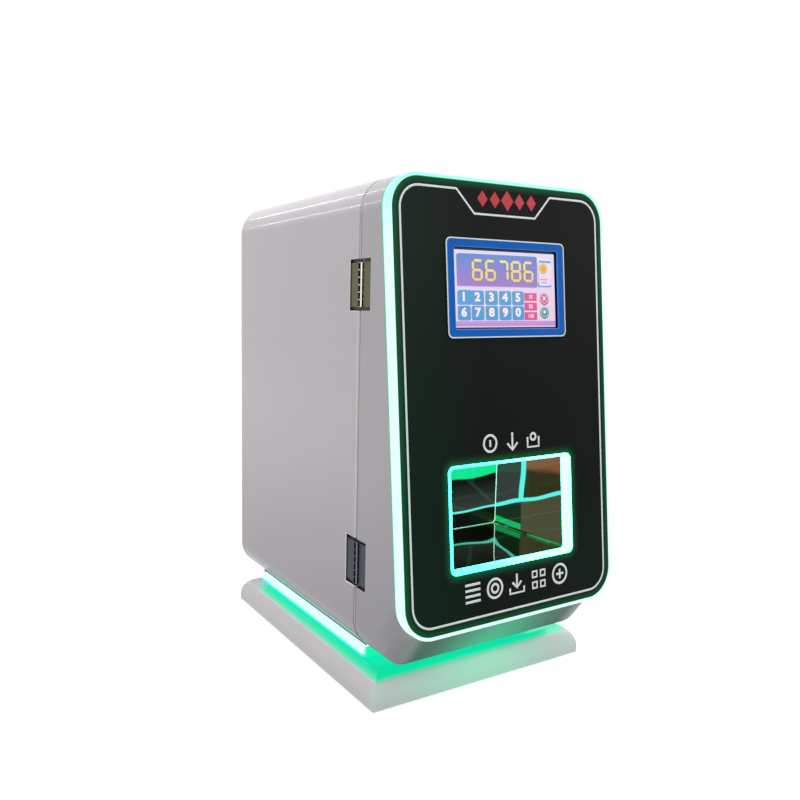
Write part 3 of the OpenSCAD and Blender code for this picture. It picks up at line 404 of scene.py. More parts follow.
def mirrorSteel():
    # mirror polished sheet, slightly buckled: the lit frame's bands and dim shapes are painted on the back and right
    # walls, as painted reflections in emission over steel darkened to dim its own; the floor mirrors both
    look = {"mirror": "#b4b09a", "wall": "#30332c", "band": "#5cf6e6", "block": "#12e68e", "grey": "#343d39",
            "olive": "#2f321d", "brown": "#7c5238", "deep": "#0b0f0c", "dark": "#16301f", "patch": "#12b862",
            "dull": "#4b4c37", "bump": 0.06, "bumpDeep": 0.020, "buckle": 0.060,  # m
            "right": 92.0, "back": -75.0, "onFace": 0.5, "sway": 3.0, "upright": 123.5, "slope": -0.353,  # mm
            "foot": 167.3, "blockFrom": 237.0, "line": 193.0, "sloping": (1.8, 3.2), "standing": (3.2, 4.6),
            "warm": (254.0, 262.0), "deepest": (178.0, 180.0), "lineEdge": (1.0, 2.0), "fadeBelow": 6}
    material, tree, shader = newMaterial("mirrorSteel", {"Metallic": 1.0, "Roughness": 0.03, "Emission Strength": 1.0})
    where = objectSpace(tree)
    x, y, z = split(calcVector("MULTIPLY", where, (1 / mm,) * 3))
    buckle = noise(where, look["buckle"], 0.0)
    sway = ramp(buckle, 0.25, 0.75, -look["sway"], look["sway"])
    bentY = calc("ADD", y, sway)
    bentZ = calc("ADD", z, sway)
    # right wall: painted reflection of a sloping band, an upright one above it, four shapes round them
    over = calc("SUBTRACT", bentZ, calc("MULTIPLY_ADD", y, look["slope"], look["foot"]))
    sloping = fall(calc("ABSOLUTE", over), *look["sloping"])
    aside = calc("ADD", bentY, look["upright"])
    upright = fall(calc("ABSOLUTE", aside), *look["standing"])
    above = ramp(over, -0.5, 0.5)
    bands = calc("MAXIMUM", sloping, calc("MULTIPLY", upright, above))
    front = fall(aside, -1.0, 1.0)
    warm = tint(ramp(bentZ, *look["warm"]), look["olive"], look["brown"])
    rear = tint(ramp(bentZ, *look["deepest"]), look["patch"], look["dark"])
    shapes = tint(above, tint(front, rear, look["dull"]), tint(front, look["grey"], warm))
    paintedRightReflection = tint(bands, shapes, look["band"])
    # back wall: painted reflection of a green block above, grey fading up into dark, a bright line, dark below it
    fade = tint(ramp(z, look["line"], look["blockFrom"] - look["fadeBelow"]), look["grey"], look["deep"])
    dim = tint(ramp(bentZ, look["line"] - 0.4, look["line"] + 0.4), look["deep"], fade)
    offLine = calc("ABSOLUTE", calc("SUBTRACT", bentZ, look["line"]))
    lined = tint(fall(offLine, *look["lineEdge"]), dim, look["band"])
    inBlock = ramp(bentZ, look["blockFrom"] - 1, look["blockFrom"] + 1)
    paintedBackReflection = tint(inBlock, lined, look["block"])
    onRight = calc("COMPARE", x, look["right"], look["onFace"])
    onBack = calc("COMPARE", y, look["back"], look["onFace"])
    onWall = calc("MAXIMUM", onRight, onBack)
    plug(shader, {
        "Emission Color": tint(onRight, tint(onBack, "#000000", paintedBackReflection), paintedRightReflection),
        "Base Color": tint(onWall, look["mirror"], look["wall"]),
        "Normal": relief(buckle, look["bump"], look["bumpDeep"])})
    return material


def rockerCap():
    # red switch cap with the two plain marks of a mains switch, a stroke and a ring
    look = {"red": "#c01a1c", "dull": "#a81416", "mark": "#f2efe8", "rough": (0.2, 0.32), "cloud": 0.006,  # m
            "x": 95.0, "stroke": 136.6, "strokeHalf": (0.45, 2.2), "ring": 127.4, "radius": 2.0, "ringHalf": 0.4}  # mm
    material, tree, shader = newMaterial("redPolycarbonate", {})
    where = objectSpace(tree)
    place = calcVector("MULTIPLY", where, (1 / mm, 0, 1 / mm))
    x, _, z = split(place)
    cloud = noise(where, look["cloud"], 2.0)
    thin, tall = look["strokeHalf"]
    stroke = calc("MULTIPLY", calc("COMPARE", x, look["x"], thin),
                  calc("COMPARE", z, look["stroke"], tall))
    away = calcVector("DISTANCE", place, (look["x"], 0, look["ring"]), output="Value")
    ring = calc("COMPARE", away, look["radius"], look["ringHalf"])
    red = tint(cloud, look["red"], look["dull"])
    plug(shader, {"Base Color": tint(calc("MAXIMUM", stroke, ring), red, look["mark"]),
                  "Roughness": ramp(cloud, 0.0, 1.0, *look["rough"])})
    return material


# by the record's slots; a surface has its name, a pale and a dull colour, the size of its clouds and of its grain,
# its roughness from and to, and its bump
finishes = {
    # ABS shell sprayed with gloss lacquer: a pale grey with painted shade lower down, faint orange peel, a soft clear
    # shine
    "painted_shell": shellLacquer("lacqueredAbs", {"pale": "#d9d1d8", "dull": "#d2cad1", "low": "#aca4ac"}),
    # sheet steel with powder coat: grey with the fine pimples of cured powder
    "painted_steel": surface("powderCoatedSteel", "#77797d", "#6d6f74", 60, 0.9, (0.45, 0.6), 0.25),
    # zinc plated steel: cool bright grey with soft cloudy plating
    "zinc_steel": surface("zincPlatedSteel", "#c6c8c8", "#a9adb0", 8, 0.6, (0.26, 0.42), 0.08, Metallic=1.0),
    # moulded rubber: near black, dull
    "foot_rubber": surface("mouldedRubber", "#1c1c1d", "#141415", 15, 0.8, (0.7, 0.85), 0.2),
    # soft pale rubber of the seal round the door
    "seal_rubber": surface("paleSealRubber", "#a5a3a3", "#979596", 20, 0.8, (0.6, 0.75), 0.15),
    # white flexible tape that carries the lights
    "led_strip": surface("whiteFlexTape", "#e8e6df", "#d9d6cd", 10, 1.0, (0.5, 0.65), 0.1),
    "black_acrylic": blackPanel(),
    # glossy injection moulded plastic in strong blue
    "blue_plastic": surface("blueAbs", "#0a66cc", "#085dbe", 40, 1.6, (0.2, 0.3), 0.05, Specular_IOR_Level=0.12),
    # cover glass of the display, black round the picture
    "display_glass": surface("displayGlass", "#060608", "#040405", 60, 20, (0.06, 0.1), 0.0),
    # glass fibre board with green solder mask
    "circuit_board": surface("solderMask", "#1c6b3c", "#175a32", 5, 0.7, (0.3, 0.42), 0.12),
    "mirror_steel": mirrorSteel(),
    "hinge_steel": hingeSteel(),
    # brushed stainless sheet, lines along its height
    "chute_steel": surface("brushedSteel", "#bfc1c1", "#a2a5a6", 6, 0.5, (0.25, 0.4), 0.1, stretch=(1, 1, 0.04),
                           Metallic=1.0),
    # plain aluminium cage of the power supply
    "supply_case": surface("millAluminium", "#c9cbcd", "#b3b6b9", 12, 0.7, (0.35, 0.5), 0.1, stretch=(0.1, 1, 1),
                           Metallic=1.0),
    # chromed zinc casting
    "lock_chrome": surface("chromedZinc", "#d4d5d6", "#c4c6c8", 10, 1.5, (0.06, 0.12), 0.02, Metallic=1.0),
    # turned brass
    "brass": surface("turnedBrass", "#c9a763", "#b08f4d", 6, 0.4, (0.22, 0.36), 0.08, Metallic=1.0),
    # black moulded polyamide
    "inlet_black": surface("blackPolyamide", "#1b1b1d", "#141416", 20, 0.7, (0.42, 0.55), 0.15),
    "rocker_red": rockerCap(),
    # natural ABS of the hopper, fine spark texture
    "hopper_plastic": surface("hopperAbs", "#c9c8c0", "#bdbcb3", 50, 0.9, (0.45, 0.58), 0.2),
    # blue acetal of the disc, roller and gear
    "disc_plastic": surface("blueAcetal", "#41699c", "#375d8e", 20, 0.8, (0.3, 0.42), 0.1),
    # black painted motor can
    "motor_can": surface("blackMotorPaint", "#2c2d30", "#222326", 15, 0.8, (0.32, 0.45), 0.1),
}
# opal acrylic over green light: the panel's edge, the outlet's frame and the tube round the neck
lights = {
    "edge_light_guide": litAcrylic("litEdgeAcrylic", {
        "core": ("#dcfffd", "#aefff4"), "along": 1, "ends": (430.0, 505.0), "edge": "#20d890", "rear": (-13.6, -11.0),
        "beside": (0.0, 0.5), "cloud": 60, "power": (1.02, 1.14)}),
    "outlet_light_frame": litAcrylic("litOutletAcrylic", {
        "core": ("#2affd2", "#4affd6"), "along": 0, "ends": (-60.0, 60.0), "cloud": 60, "power": (11.0, 13.0)}),
    "neck_light_tube": litNeck(),
}
# white and red screen printing ink on the panel
whiteInk = surface("whiteScreenInk", "#eef4f2", "#dfe6e4", 20, 0.6, (0.35, 0.5), 0.05)
redInk = surface("redScreenInk", "#d0202c", "#b51a26", 12, 0.6, (0.3, 0.45), 0.05)
plinthLacquer = litPlinth()
# the door's lacquer: the body's lacquer painted darker as shade, with painted shade and a green glow on the slope under
# the panel
shadedDoorLacquer = shellLacquer("lacqueredAbsDoor", {
    "pale": "#c4c0c4", "dull": "#bdb9be", "low": "#a29ea5", "chin": "#5a6e66"})
# lacquer painted pale along an edge as a highlight
highlightLacquer = surface("paleLacquerEdge", "#f4eff2", "#ece6ea", 30, 2.5, (0.25, 0.35), 0.03)
# painted shade at the bottom of the hinge pockets, a dark grey
pocketShade = surface("darkPocketAbs", "#2b2a28", "#1d1c1b", 5, 0.8, (0.4, 0.55), 0.1)
# steel along a fold, left rough where it catches the light, with a painted green glint in its emission
foldGlintSteel = surface("foldedSteelEdge", "#f0f4ee", "#dfe6de", 20, 1.0, (0.3, 0.45), 0.05, Metallic=1.0,
                      Emission_Color=linear("#8ff0d0"), Emission_Strength=0.4)
# blue plastic case of the relays
relayPlastic = surface("blueRelayCase", "#2a60b4", "#2355a4", 8, 0.7, (0.35, 0.5), 0.1)
# black epoxy of a chip
chipEpoxy = surface("blackEpoxy", "#1a1a1c", "#121214", 6, 0.5, (0.5, 0.65), 0.15)
# dark printed sleeve of the two round capacitors
canSleeve = surface("capacitorSleeve", "#27385a", "#1e2d4b", 6, 0.6, (0.3, 0.42), 0.05)
# green polyamide of the screw terminals
terminalPlastic = surface("terminalPolyamide", "#3a9a54", "#318a49", 6, 0.6, (0.4, 0.52), 0.1)
# shadowed bottom of a screw's cross
crossSteel = surface("crossRecess", "#34363a", "#27292c", 2, 0.4, (0.45, 0.6), 0.1)
# blue plastic painted paler along its edges as a highlight
blueHighlightEdge = surface("blueAbsEdge", "#4b8fe6", "#3d82dc", 30, 1.6, (0.2, 0.3), 0.05, Specular_IOR_Level=0.3)
print("materials made:", len(bpy.data.materials))


# the CAD pieces, copied with soft edges

plainEdge = 0.35  # mm, for nodes that are not listed
softEdges = {
    "base_plinth": 2.0, "cabinet_shell": 0.6, "door_shell": 0.7, "edge_light_guide": 1.0,
    "outlet_light_frame": 0.8, "neck_light_tube": 1.2, "screen_bezel": 0.9, "front_panel": 0.3,
    "rear_panel": 0.25, "outlet_tray": 0.25, "rubber_feet": 0.8, "hopper_bowl": 0.8, "hopper_base": 0.8,
    "power_inlet": 0.4, "power_rocker": 0.5, "lock_body": 0.5, "door_hinge_leaves": 0.3,
    "cabinet_hinge_leaves": 0.3, "power_supply": 0.5, "coin_disc": 0.6, "drive_motor": 0.8,
}
plainNodes = ("disc_gear", "motor_pinion")
# materials of one piece only; the edges of a node in edgeMade take the second one, a painted highlight
ownFinish = {
    "base_plinth": plinthLacquer, "cabinet_shell": [finishes["painted_shell"], highlightLacquer, pocketShade],
    "door_shell": [shadedDoorLacquer, highlightLacquer, pocketShade], "screen_bezel": [finishes["blue_plastic"], blueHighlightEdge],
    "outlet_tray": [finishes["mirror_steel"], foldGlintSteel],
    "control_board": [finishes["circuit_board"], relayPlastic, chipEpoxy, canSleeve, terminalPlastic],
    "power_inlet": [finishes["inlet_black"], finishes["brass"]],
    **lights,
}
edgeMade = ("cabinet_shell", "door_shell", "screen_bezel", "outlet_tray")
ownEdges = {"cabinet_shell": 1.4, "outlet_tray": 0.9}  # mm
# where faces lie in mm: hinge pockets, what stands on the control board, pins of the mains inlet
pockets = {"y": -116.6, "wide": 24, "z": (165.5, 489.5), "tall": 30.5, "inner": -158, "outer": -162.05}
board = {"face": 150.2, "relays": 184.9, "cans": 121, "terminals": 158}
pins = {"x": (88, 95, 102), "half": 1.1, "from": 195, "to": 209.8, "under": 122, "area": 80}


def inPocket(y, z):
    return abs(y - pockets["y"]) < pockets["wide"] and min(abs(z - p) for p in pockets["z"]) < pockets["tall"]


def faceFinish(node, face):
    # number of the material for one face, by its place in mm
    x, y, z = face.center / mm
    if node in ("cabinet_shell", "door_shell"):
        # the hinge pockets get painted shade inside; away from them the door keeps its plain edges
        pocket = x < pockets["inner"] and inPocket(y, z)
        if pocket and x > pockets["outer"]:
            return 2
        if not pocket and node == "door_shell":
            return 0
    if node == "control_board" and x < board["face"]:
        return 1 if z > board["relays"] else 3 if y > board["cans"] else 4 if z < board["terminals"] else 2
    if node == "power_inlet" and pins["from"] < y < pins["to"] and z < pins["under"]:
        if face.area < pins["area"] * mm * mm:
            return 1 if min(abs(x - pin) for pin in pins["x"]) < pins["half"] else 0
    return face.material_index


skin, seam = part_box("cabinet_shell")[0][:2]
near, middle, trayBack = 0.03 * mm, 332.5 * mm, -75 * mm  # middle of the cabinet's height, back wall of the tray


def onPlane(axis, place, a, b):
    return max(abs(a[axis] - place), abs(b[axis] - place)) < near


def outerCorner(axis, faces):
    # one face looks out along the axis, another lies along it
    return any(f.normal[axis] < -0.9 for f in faces) and any(abs(f.normal[axis]) < 0.3 for f in faces)


def alongEdge(node, a, b, faces):
    # edges that are rounded on their own: the cabinet's seam, the rims of its hinge pockets, the tray's rear fold
    if node == "cabinet_shell" and onPlane(1, seam, a, b):
        outer = any(abs(f.normal.y) < 0.2 and f.normal.x * f.center.x + f.normal.z * (f.center.z - middle) > 0
                    for f in faces)
        return outer and any(f.normal.y < -0.9 for f in faces)
    if node == "cabinet_shell" and onPlane(0, skin, a, b):
        return inPocket((a.y + b.y) / 2 / mm, (a.z + b.z) / 2 / mm) and outerCorner(0, faces)
    if node == "outlet_tray" and onPlane(1, trayBack, a, b):
        return outerCorner(1, faces)
    return False


def softenSome(node, piece, width):
    beside = {}
    for face in piece.data.polygons:
        face.select = False
        for key in face.edge_keys:
            beside.setdefault(key, []).append(face)
    for point in piece.data.vertices:
        point.select = False
    for edge in piece.data.edges:
        a, b = (piece.data.vertices[v].co for v in edge.vertices)
        edge.select = alongEdge(node, a, b, beside.get(edge.key, []))
    pickOnly(piece)
    mode("EDIT")
    bpy.ops.mesh.select_mode(type="EDGE")
    bpy.ops.mesh.bevel(offset=width * mm, segments=3, affect="EDGES", material=1 if node in edgeMade else -1)
    bpy.ops.mesh.select_mode(type="VERT")
    mode("OBJECT")


def applyModifier(piece, kind, **settings):
    modifier = piece.modifiers.new(kind, kind)
    for name, value in settings.items():
        setattr(modifier, name, value)
    pickOnly(piece)
    bpy.ops.object.modifier_apply(modifier=kind)


def plainName(node):
    words = node.split("_")
    return words[0] + "".join(w.capitalize() for w in words[1:])


def softCopy(node, edge):
    piece = addObject(plainName(node), frame["nodes"][node].data.copy())
    pickOnly(piece)
    bpy.ops.mesh.customdata_custom_splitnormals_clear()
    editAll(piece)
    bpy.ops.mesh.remove_doubles(threshold=weld)
    bpy.ops.mesh.dissolve_limited(angle_limit=flatWithin)
    mode("OBJECT")
    body = None if node == "arm_spring" else bodyOf[node]
    dress(piece, ownFinish.get(node) or finishes[slotOf[node]], body, slotOf[node], node)
    if node in ownEdges:
        softenSome(node, piece, ownEdges[node])
    applyModifier(piece, "BEVEL", width=edge * mm, segments=3, limit_method="ANGLE", angle_limit=sharpFrom,
                  use_clamp_overlap=True, material=1 if node in edgeMade else -1)
    if node in ownFinish:
        for face in piece.data.polygons:
            face.material_index = faceFinish(node, face)
    bpy.ops.object.shade_smooth_by_angle(angle=crease)
    applyModifier(piece, "WEIGHTED_NORMAL", keep_sharp=True, weight=100)
    return piece


def bendSpring(piece):
    # the exit arm's leaf spring, cut across into steps from its tip to its post
    leaf = {"tip": (49.6, -57.6, 378.0), "post": (64.3, -60.6, 378.0), "lap": 5.0, "steps": 8}  # mm
    tip, post = Vector(leaf["tip"]) * mm, Vector(leaf["post"]) * mm
    pickOnly(piece)
    mode("EDIT")
    for step in range(1, leaf["steps"]):
        bpy.ops.mesh.select_all(action="SELECT")
        bpy.ops.mesh.bisect(plane_co=tip.lerp(post, step / leaf["steps"]), plane_no=post - tip)
    mode("OBJECT")
    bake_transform(piece)


for node in frame["nodes"]:
    if node in plainNodes:
        frame["nodes"][node].data.materials.clear()
        frame["nodes"][node].data.materials.append(finishes[slotOf[node]])
    else:
        piece = softCopy(node, softEdges.get(node, plainEdge))
        if node == "arm_spring":
            bendSpring(piece)
print("pieces with soft edges:", len(frame["nodes"]) - len(plainNodes))


# small pieces at the back and inside

def block(low, high, material):
    # a box between two corners in mm
    piece = addShape(bpy.ops.mesh.primitive_cube_add, [(a + b) / 2 for a, b in zip(low, high)], size=mm)
    piece.scale = [b - a for a, b in zip(low, high)]
    bpy.ops.object.transform_apply(location=True, rotation=False, scale=True)
    piece.data.materials.append(material)
    return piece


def supplyTerminals():
    # black terminal strip on the supply's step, ribs between its screws
    strip = {"x": (-106, 16), "y": (60.5, 70.2), "z": (82.05, 89), "ways": 9, "ribHalf": 0.7, "ribHigh": 4,  # mm
             "screwY": 65.3, "radius": 3.2, "thick": 1.6, "slot": (2.4, 0.4), "slotZ": (1.55, 1.65)}
    (x0, x1), (front, back), (low, high), ways, rib, ribHigh, *screwSizes = strip.values()
    screwY, radius, thick, (a, b), (under, over) = screwSizes
    black = finishes["inlet_black"]
    made = [block((x0, front, low), (x1, back, high), black)]
    for way in range(ways + 1):
        x = x0 + way * (x1 - x0) / ways
        made.append(block((x - rib, front, high), (x + rib, back, high + ribHigh), black))
    for way in range(ways):
        x = x0 + (way + 0.5) * (x1 - x0) / ways
        screw = addShape(bpy.ops.mesh.primitive_cylinder_add, (x, screwY, high + thick / 2), vertices=24,
                         radius=radius * mm, depth=thick * mm)
        screw.data.materials.append(finishes["zinc_steel"])
        made += [screw, block((x - a, screwY - b, high + under), (x + a, screwY + b, high + over), crossSteel)]
    joinPieces("supplyTerminals", made, "cabinet")


def screwCrosses():
    # cross recesses on the rear panel's screw heads
    heads = {"x": (-154, 154), "z": (95, 332.5, 570), "top": 211.1, "arm": 1.7, "wide": 0.4, "deep": 0.06}  # mm
    arm, wide, front, back = heads["arm"], heads["wide"], heads["top"] - heads["deep"], heads["top"] + heads["deep"]
    made = [block((x - a, front, z - b), (x + a, back, z + b), crossSteel)
            for x in heads["x"] for z in heads["z"] for a, b in ((arm, wide), (wide, arm))]
    joinPieces("rearScrewCrosses", made, "cabinet")


supplyTerminals()
screwCrosses()
print("small pieces made")


# print on the panel

def underPanel(depth):
    return panelMatrix @ Matrix.Translation((0, 0, -depth * mm))


def arc(centre, radius, start=90, stop=450, steps=8):
    turns = [math.radians(start + (stop - start) * i / steps) for i in range(steps + 1)]
    return [(centre[0] + radius * math.cos(a), centre[1] + radius * math.sin(a)) for a in turns]


def drawLines(name, strokes, width, high, depth, material, slot):
    # lines drawn point by point, thickened as a curve and pressed flat on the panel
    addShape(bpy.ops.mesh.primitive_plane_add, (0, 0, 0), size=mm).name = name
    mode("EDIT")
    bpy.ops.mesh.select_all(action="SELECT")
    bpy.ops.mesh.delete(type="VERT")
    for stroke in strokes:
        bpy.ops.mesh.select_all(action="DESELECT")
        bpy.ops.mesh.primitive_plane_add(size=mm, location=(stroke[0][0] * mm, stroke[0][1] * mm, 0))
        bpy.ops.mesh.merge(type="CENTER")
        for (x0, y0), (x1, y1) in zip(stroke, stroke[1:]):
            bpy.ops.mesh.extrude_region_move(
                TRANSFORM_OT_translate={"value": ((x1 - x0) * mm, (y1 - y0) * mm, 0)})
    bpy.ops.mesh.select_all(action="SELECT")
    bpy.ops.mesh.remove_doubles(threshold=0.02 * mm)
    mode("OBJECT")
    bpy.ops.object.convert(target="CURVE")
    piece = bpy.context.object
    piece.data.bevel_depth = width * mm / 2
    piece.data.bevel_resolution = 2
    piece.data.use_fill_caps = True
    bpy.ops.object.convert(target="MESH")
    piece = bpy.context.object
    piece.scale[2] = 2 * high / width
    settle(piece)
    settle(piece, underPanel(depth))
    closeUp(piece)
    bpy.ops.object.shade_smooth_by_angle(angle=crease)
    dress(piece, material, "door", slot)


def panelPrint():
    border = {"half": 149.2, "low": 13.8, "high": 497.2, "corner": 26, "width": 2.5,  # mm
              "notch": [(-71.5, 497.2), (-46.5, 471), (46.5, 471), (71.5, 497.2)]}
    signs = {"rise": 0.12, "face": 0.2, "over": 2.8, "under": 2.9}
    ring = {"half": 84.3, "low": 337.3, "high": 436.5, "corner": 5.6, "width": 1.5, "rise": 0.15, "out": 1.95}
    flat = (signs["rise"], signs["face"], whiteInk, "black_acrylic")
    left, right, r = border["corner"] - border["half"], border["half"] - border["corner"], border["corner"]
    low, high = border["low"] + r, border["high"] - r
    line = border["notch"] + arc((right, high), r, 90, 0) + arc((right, low), r, 0, -90)
    line += arc((left, low), r, -90, -180) + arc((left, high), r, 180, 90) + border["notch"][:1]
    drawLines("panelBorder", [line], border["width"], *flat)
    # plain signs over the outlet: a coin, an arrow down, a cup
    over = [
        arc((-33, 210), 9.5, steps=20), [(-33, 214), (-33, 206)],
        [(1, 220.5), (1, 200)], [(-7, 208), (1, 199.8), (9, 208)],
        [(25, 213), (25, 201), (43, 201), (43, 213)], arc((34, 213), 4, steps=14),
    ]
    drawLines("outletSigns", over, signs["over"], *flat)
    # plain signs under the outlet: stacked coins, a coin, an arrow into a cup, keys, a plus
    under = [[(-76, y), (-54, y)] for y in (33, 39.5, 46, 52.5)]
    under += [arc((-32, 42.5), 11, steps=22), arc((-32, 42.5), 5, steps=14)]
    under += [[(2, 54), (2, 38)], [(-5, 44.5), (2, 37.6), (9, 44.5)], [(-9, 38), (-9, 31.5), (13, 31.5), (13, 38)]]
    under += [[(x, y), (x + 7, y), (x + 7, y - 7), (x, y - 7), (x, y)] for y in (52, 39) for x in (27, 40)]
    under += [arc((72, 42.5), 11.5, steps=22), [(66, 42.5), (78, 42.5)], [(72, 48.5), (72, 43.5)],
              [(72, 41.5), (72, 36.5)]]
    drawLines("lowerSigns", under, signs["under"], *flat)
    # white line round the screen's frame
    half, low, high, r = ring["half"], ring["low"], ring["high"], ring["corner"]
    line = arc((half, low), r, -90, 0, 5) + arc((half, high), r, 0, 90, 5)
    line += arc((-half, high), r, 90, 180, 5) + arc((-half, low), r, 180, 270, 5) + [(half, low - r)]
    drawLines("bezelOutline", [line], ring["width"], ring["rise"], -ring["out"], whiteInk, "blue_plastic")


def badgeRow():
    # plain red lozenges with white rims, where the printed name was; the middle one is larger
    row = {"places": (-34, -15.5, 3.5, 22.5, 41), "mid": 488.5, "wide": 7.6, "tall": 9.5, "thick": 0.15, "rim": 1.5,
           "lift": 0.06, "sunk": 0.2, "grow": 1.25}  # mm
    places, mid, wide, tall, thick, rim, lift, sunk, grow = row.values()
    made = []
    for x in places:
        share = grow if x == places[2] else 1.0
        badge = addShape(bpy.ops.mesh.primitive_cylinder_add, (x, mid, thick / 2), vertices=4, radius=mm,
                         depth=thick * mm)
        badge.scale = (wide * share, tall * share, 1)
        bpy.ops.object.transform_apply(location=False, rotation=False, scale=True)
        badge.data.materials.append(whiteInk)
        badge.data.materials.append(redInk)
        for face in badge.data.polygons:
            face.select = face.normal.z > 0.9
        mode("EDIT")
        bpy.ops.mesh.inset(thickness=rim * mm)
        badge.active_material_index = 1
        bpy.ops.object.material_slot_assign()
        bpy.ops.mesh.extrude_region_move(TRANSFORM_OT_translate={"value": (0, 0, lift * mm)})
        mode("OBJECT")
        made.append(badge)
    joinPieces("panelBadges", made, "door", underPanel(sunk))


panelPrint()
badgeRow()
print("panel print made")


# picture on the screen

screen = {"left": -77.0, "right": 77.0, "low": 343.0, "high": 430.0, "glass": 1.2, "step": 0.05,  # mm
          "figure": 0.7}  # height of a figure as a share of its font size
# colour at the top and at the bottom, and where those are, in mm up the panel
inkColours = {
    "lavender": ("#e6e0f6", "#efd2ea", (343, 430)),
    "readout": ("#6d92da", "#a983cd", (389, 426)),
    "gold": ("#f6e3a2", "#f0d283", (392, 420)),
    "amber": ("#f2c455", "#e0a63c", (405, 420)),
    "card": ("#f6e6f6", "#f3d9f0", (390, 424)),
    "bronze": ("#8d7c92", "#8a6f86", (392, 420)),
    "white": ("#fdfbff", "#f4ecfb", (343, 430)),
    "keyBlue": ("#5fa9dc", "#569fd4", (350, 385)),
    "pink": ("#e4639f", "#dc5294", (350, 384)),
    "rose": ("#e0719a", "#cf4c7c", (366, 384)),
    "teal": ("#5bb3a6", "#338c80", (352, 368)),
    "purple": ("#c99be0", "#c08ed8", (344, 350)),
    "violet": ("#7a5fb4", "#6a53a6", (350, 385)),
}
inks = {key: pictureInk("screen" + key[0].upper() + key[1:], *colours) for key, colours in inkColours.items()}


def onScreen(across, down, level):
    # place in panel space of a spot given as shares of the picture, in a numbered layer
    return (screen["left"] + across * (screen["right"] - screen["left"]),
            screen["high"] - down * (screen["high"] - screen["low"]), (level - 0.5) * screen["step"])


def patch(left, top, right, bottom, radius, level):
    # a thin plate between two corners, its upright edges rounded in mm
    x0, t1, high = onScreen(left, top, level)
    x1, t0, high = onScreen(right, bottom, level)
    piece = addShape(bpy.ops.mesh.primitive_cube_add, ((x0 + x1) / 2, (t0 + t1) / 2, high), size=mm)
    piece.scale = (x1 - x0, t1 - t0, screen["step"])
    bpy.ops.object.transform_apply(location=False, rotation=False, scale=True)
    if radius:
        for face in piece.data.polygons:
            face.select = False
        for edge in piece.data.edges:
            a, b = (piece.data.vertices[v].co for v in edge.vertices)
            edge.select = abs(a.z - b.z) > 0.5 * screen["step"] * mm
        mode("EDIT")
        bpy.ops.mesh.select_mode(type="EDGE")
        bpy.ops.mesh.bevel(offset=radius * mm, segments=1 if radius < 2 else 5, affect="EDGES")
        mode("OBJECT")
    return piece


def spot(across, down, radius, level):
    return addShape(bpy.ops.mesh.primitive_cylinder_add, onScreen(across, down, level), vertices=40, radius=radius * mm,
                    depth=screen["step"] * mm)


def figures(text, across, down, tall, bold, level, stretch=1.0, steps=3):
    bpy.ops.object.select_all(action="DESELECT")
    bpy.ops.object.text_add(location=[c * mm for c in onScreen(across, down, level)])
    bpy.context.object.scale[0] = stretch
    letters = bpy.context.object.data
    letters.body = text
    letters.size = tall * mm / screen["figure"]
    letters.align_x = letters.align_y = "CENTER"
    letters.extrude = screen["step"] * mm / 2
    letters.offset = bold * mm
    letters.resolution_u = steps
    bpy.ops.object.convert(target="MESH")
    return bpy.context.object


def lay(name, pieces, ink, turn=True):
    for piece in pieces:
        piece.data.materials.append(inks[ink])
    joinPieces(name, pieces, "door", underPanel(screen["glass"]), turn)


def readout():
    # bars of a seven-segment figure, from the top clockwise and then the middle: centre x, y, upright
    bars = [(0.5, 0.0, False), (1.0, 0.25, True), (1.0, 0.75, True), (0.5, 1.0, False), (0.0, 0.75, True),
            (0.0, 0.25, True), (0.5, 0.5, False)]
    lit = {"6": (0, 2, 3, 4, 5, 6), "7": (0, 1, 2), "8": (0, 1, 2, 3, 4, 5, 6)}
    shape = {"from": (0.174, 0.132), "size": (0.082, 0.245), "step": 0.1275, "half": (0.0118, 0.0185),
             "gap": (0.003, 0.004), "rim": (0.0042, 0.0075),  # shares of the picture, across and down
             "corner": 1.45, "rimCorner": 0.4}  # mm
    (wide, tall), (halfX, halfY), (gapX, gapY) = shape["size"], shape["half"], shape["gap"]
    for name, ink, grow, level in (("readoutShadows", "bronze", 1.0, 3), ("readoutFigures", "gold", 0.0, 4)):
        made = []
        gx, gy = (grow * rim for rim in shape["rim"])
        for place, figure in enumerate("66786"):
            for cx, cy, upright in (bars[number] for number in lit[figure]):
                x, y = shape["from"][0] + place * shape["step"] + cx * wide, shape["from"][1] + cy * tall
                dx, dy = (halfX, tall / 4 - gapY) if upright else (wide / 2 - gapX, halfY)
                made.append(patch(x - dx - gx, y - dy - gy, x + dx + gx, y + dy + gy,
                                  shape["corner"] + grow * shape["rimCorner"], level))
        lay(name, made, ink)


def numberKeys():
    pad = {"columns": (0.02, 0.15, 0.285, 0.42, 0.55), "rows": (0.52, 0.72), "key": (0.122, 0.19),
           "text": (0.059, 0.089),  # shares of the picture
           "corner": 2.6, "tall": 9.4, "bold": 0.72, "outline": 1.1, "stretch": 1.2, "outlineSteps": 6}  # mm
    (wide, deep), (textX, textY), tall, stretch = pad["key"], pad["text"], pad["tall"], pad["stretch"]
    keys, texts, outlines = [], [], []
    for number, text in enumerate("1234567890"):
        x, y = pad["columns"][number % 5], pad["rows"][number // 5]
        keys.append(patch(x, y, x + wide, y + deep, pad["corner"], 2))
        outlines.append(figures(text, x + textX, y + textY, tall, pad["outline"], 3, stretch, pad["outlineSteps"]))
        texts.append(figures(text, x + textX, y + textY, tall, pad["bold"], 4, stretch))
    lay("screenKeys", keys, "keyBlue")
    lay("keyOutlines", outlines, "violet", False)
    lay("keyFigures", texts, "white", False)


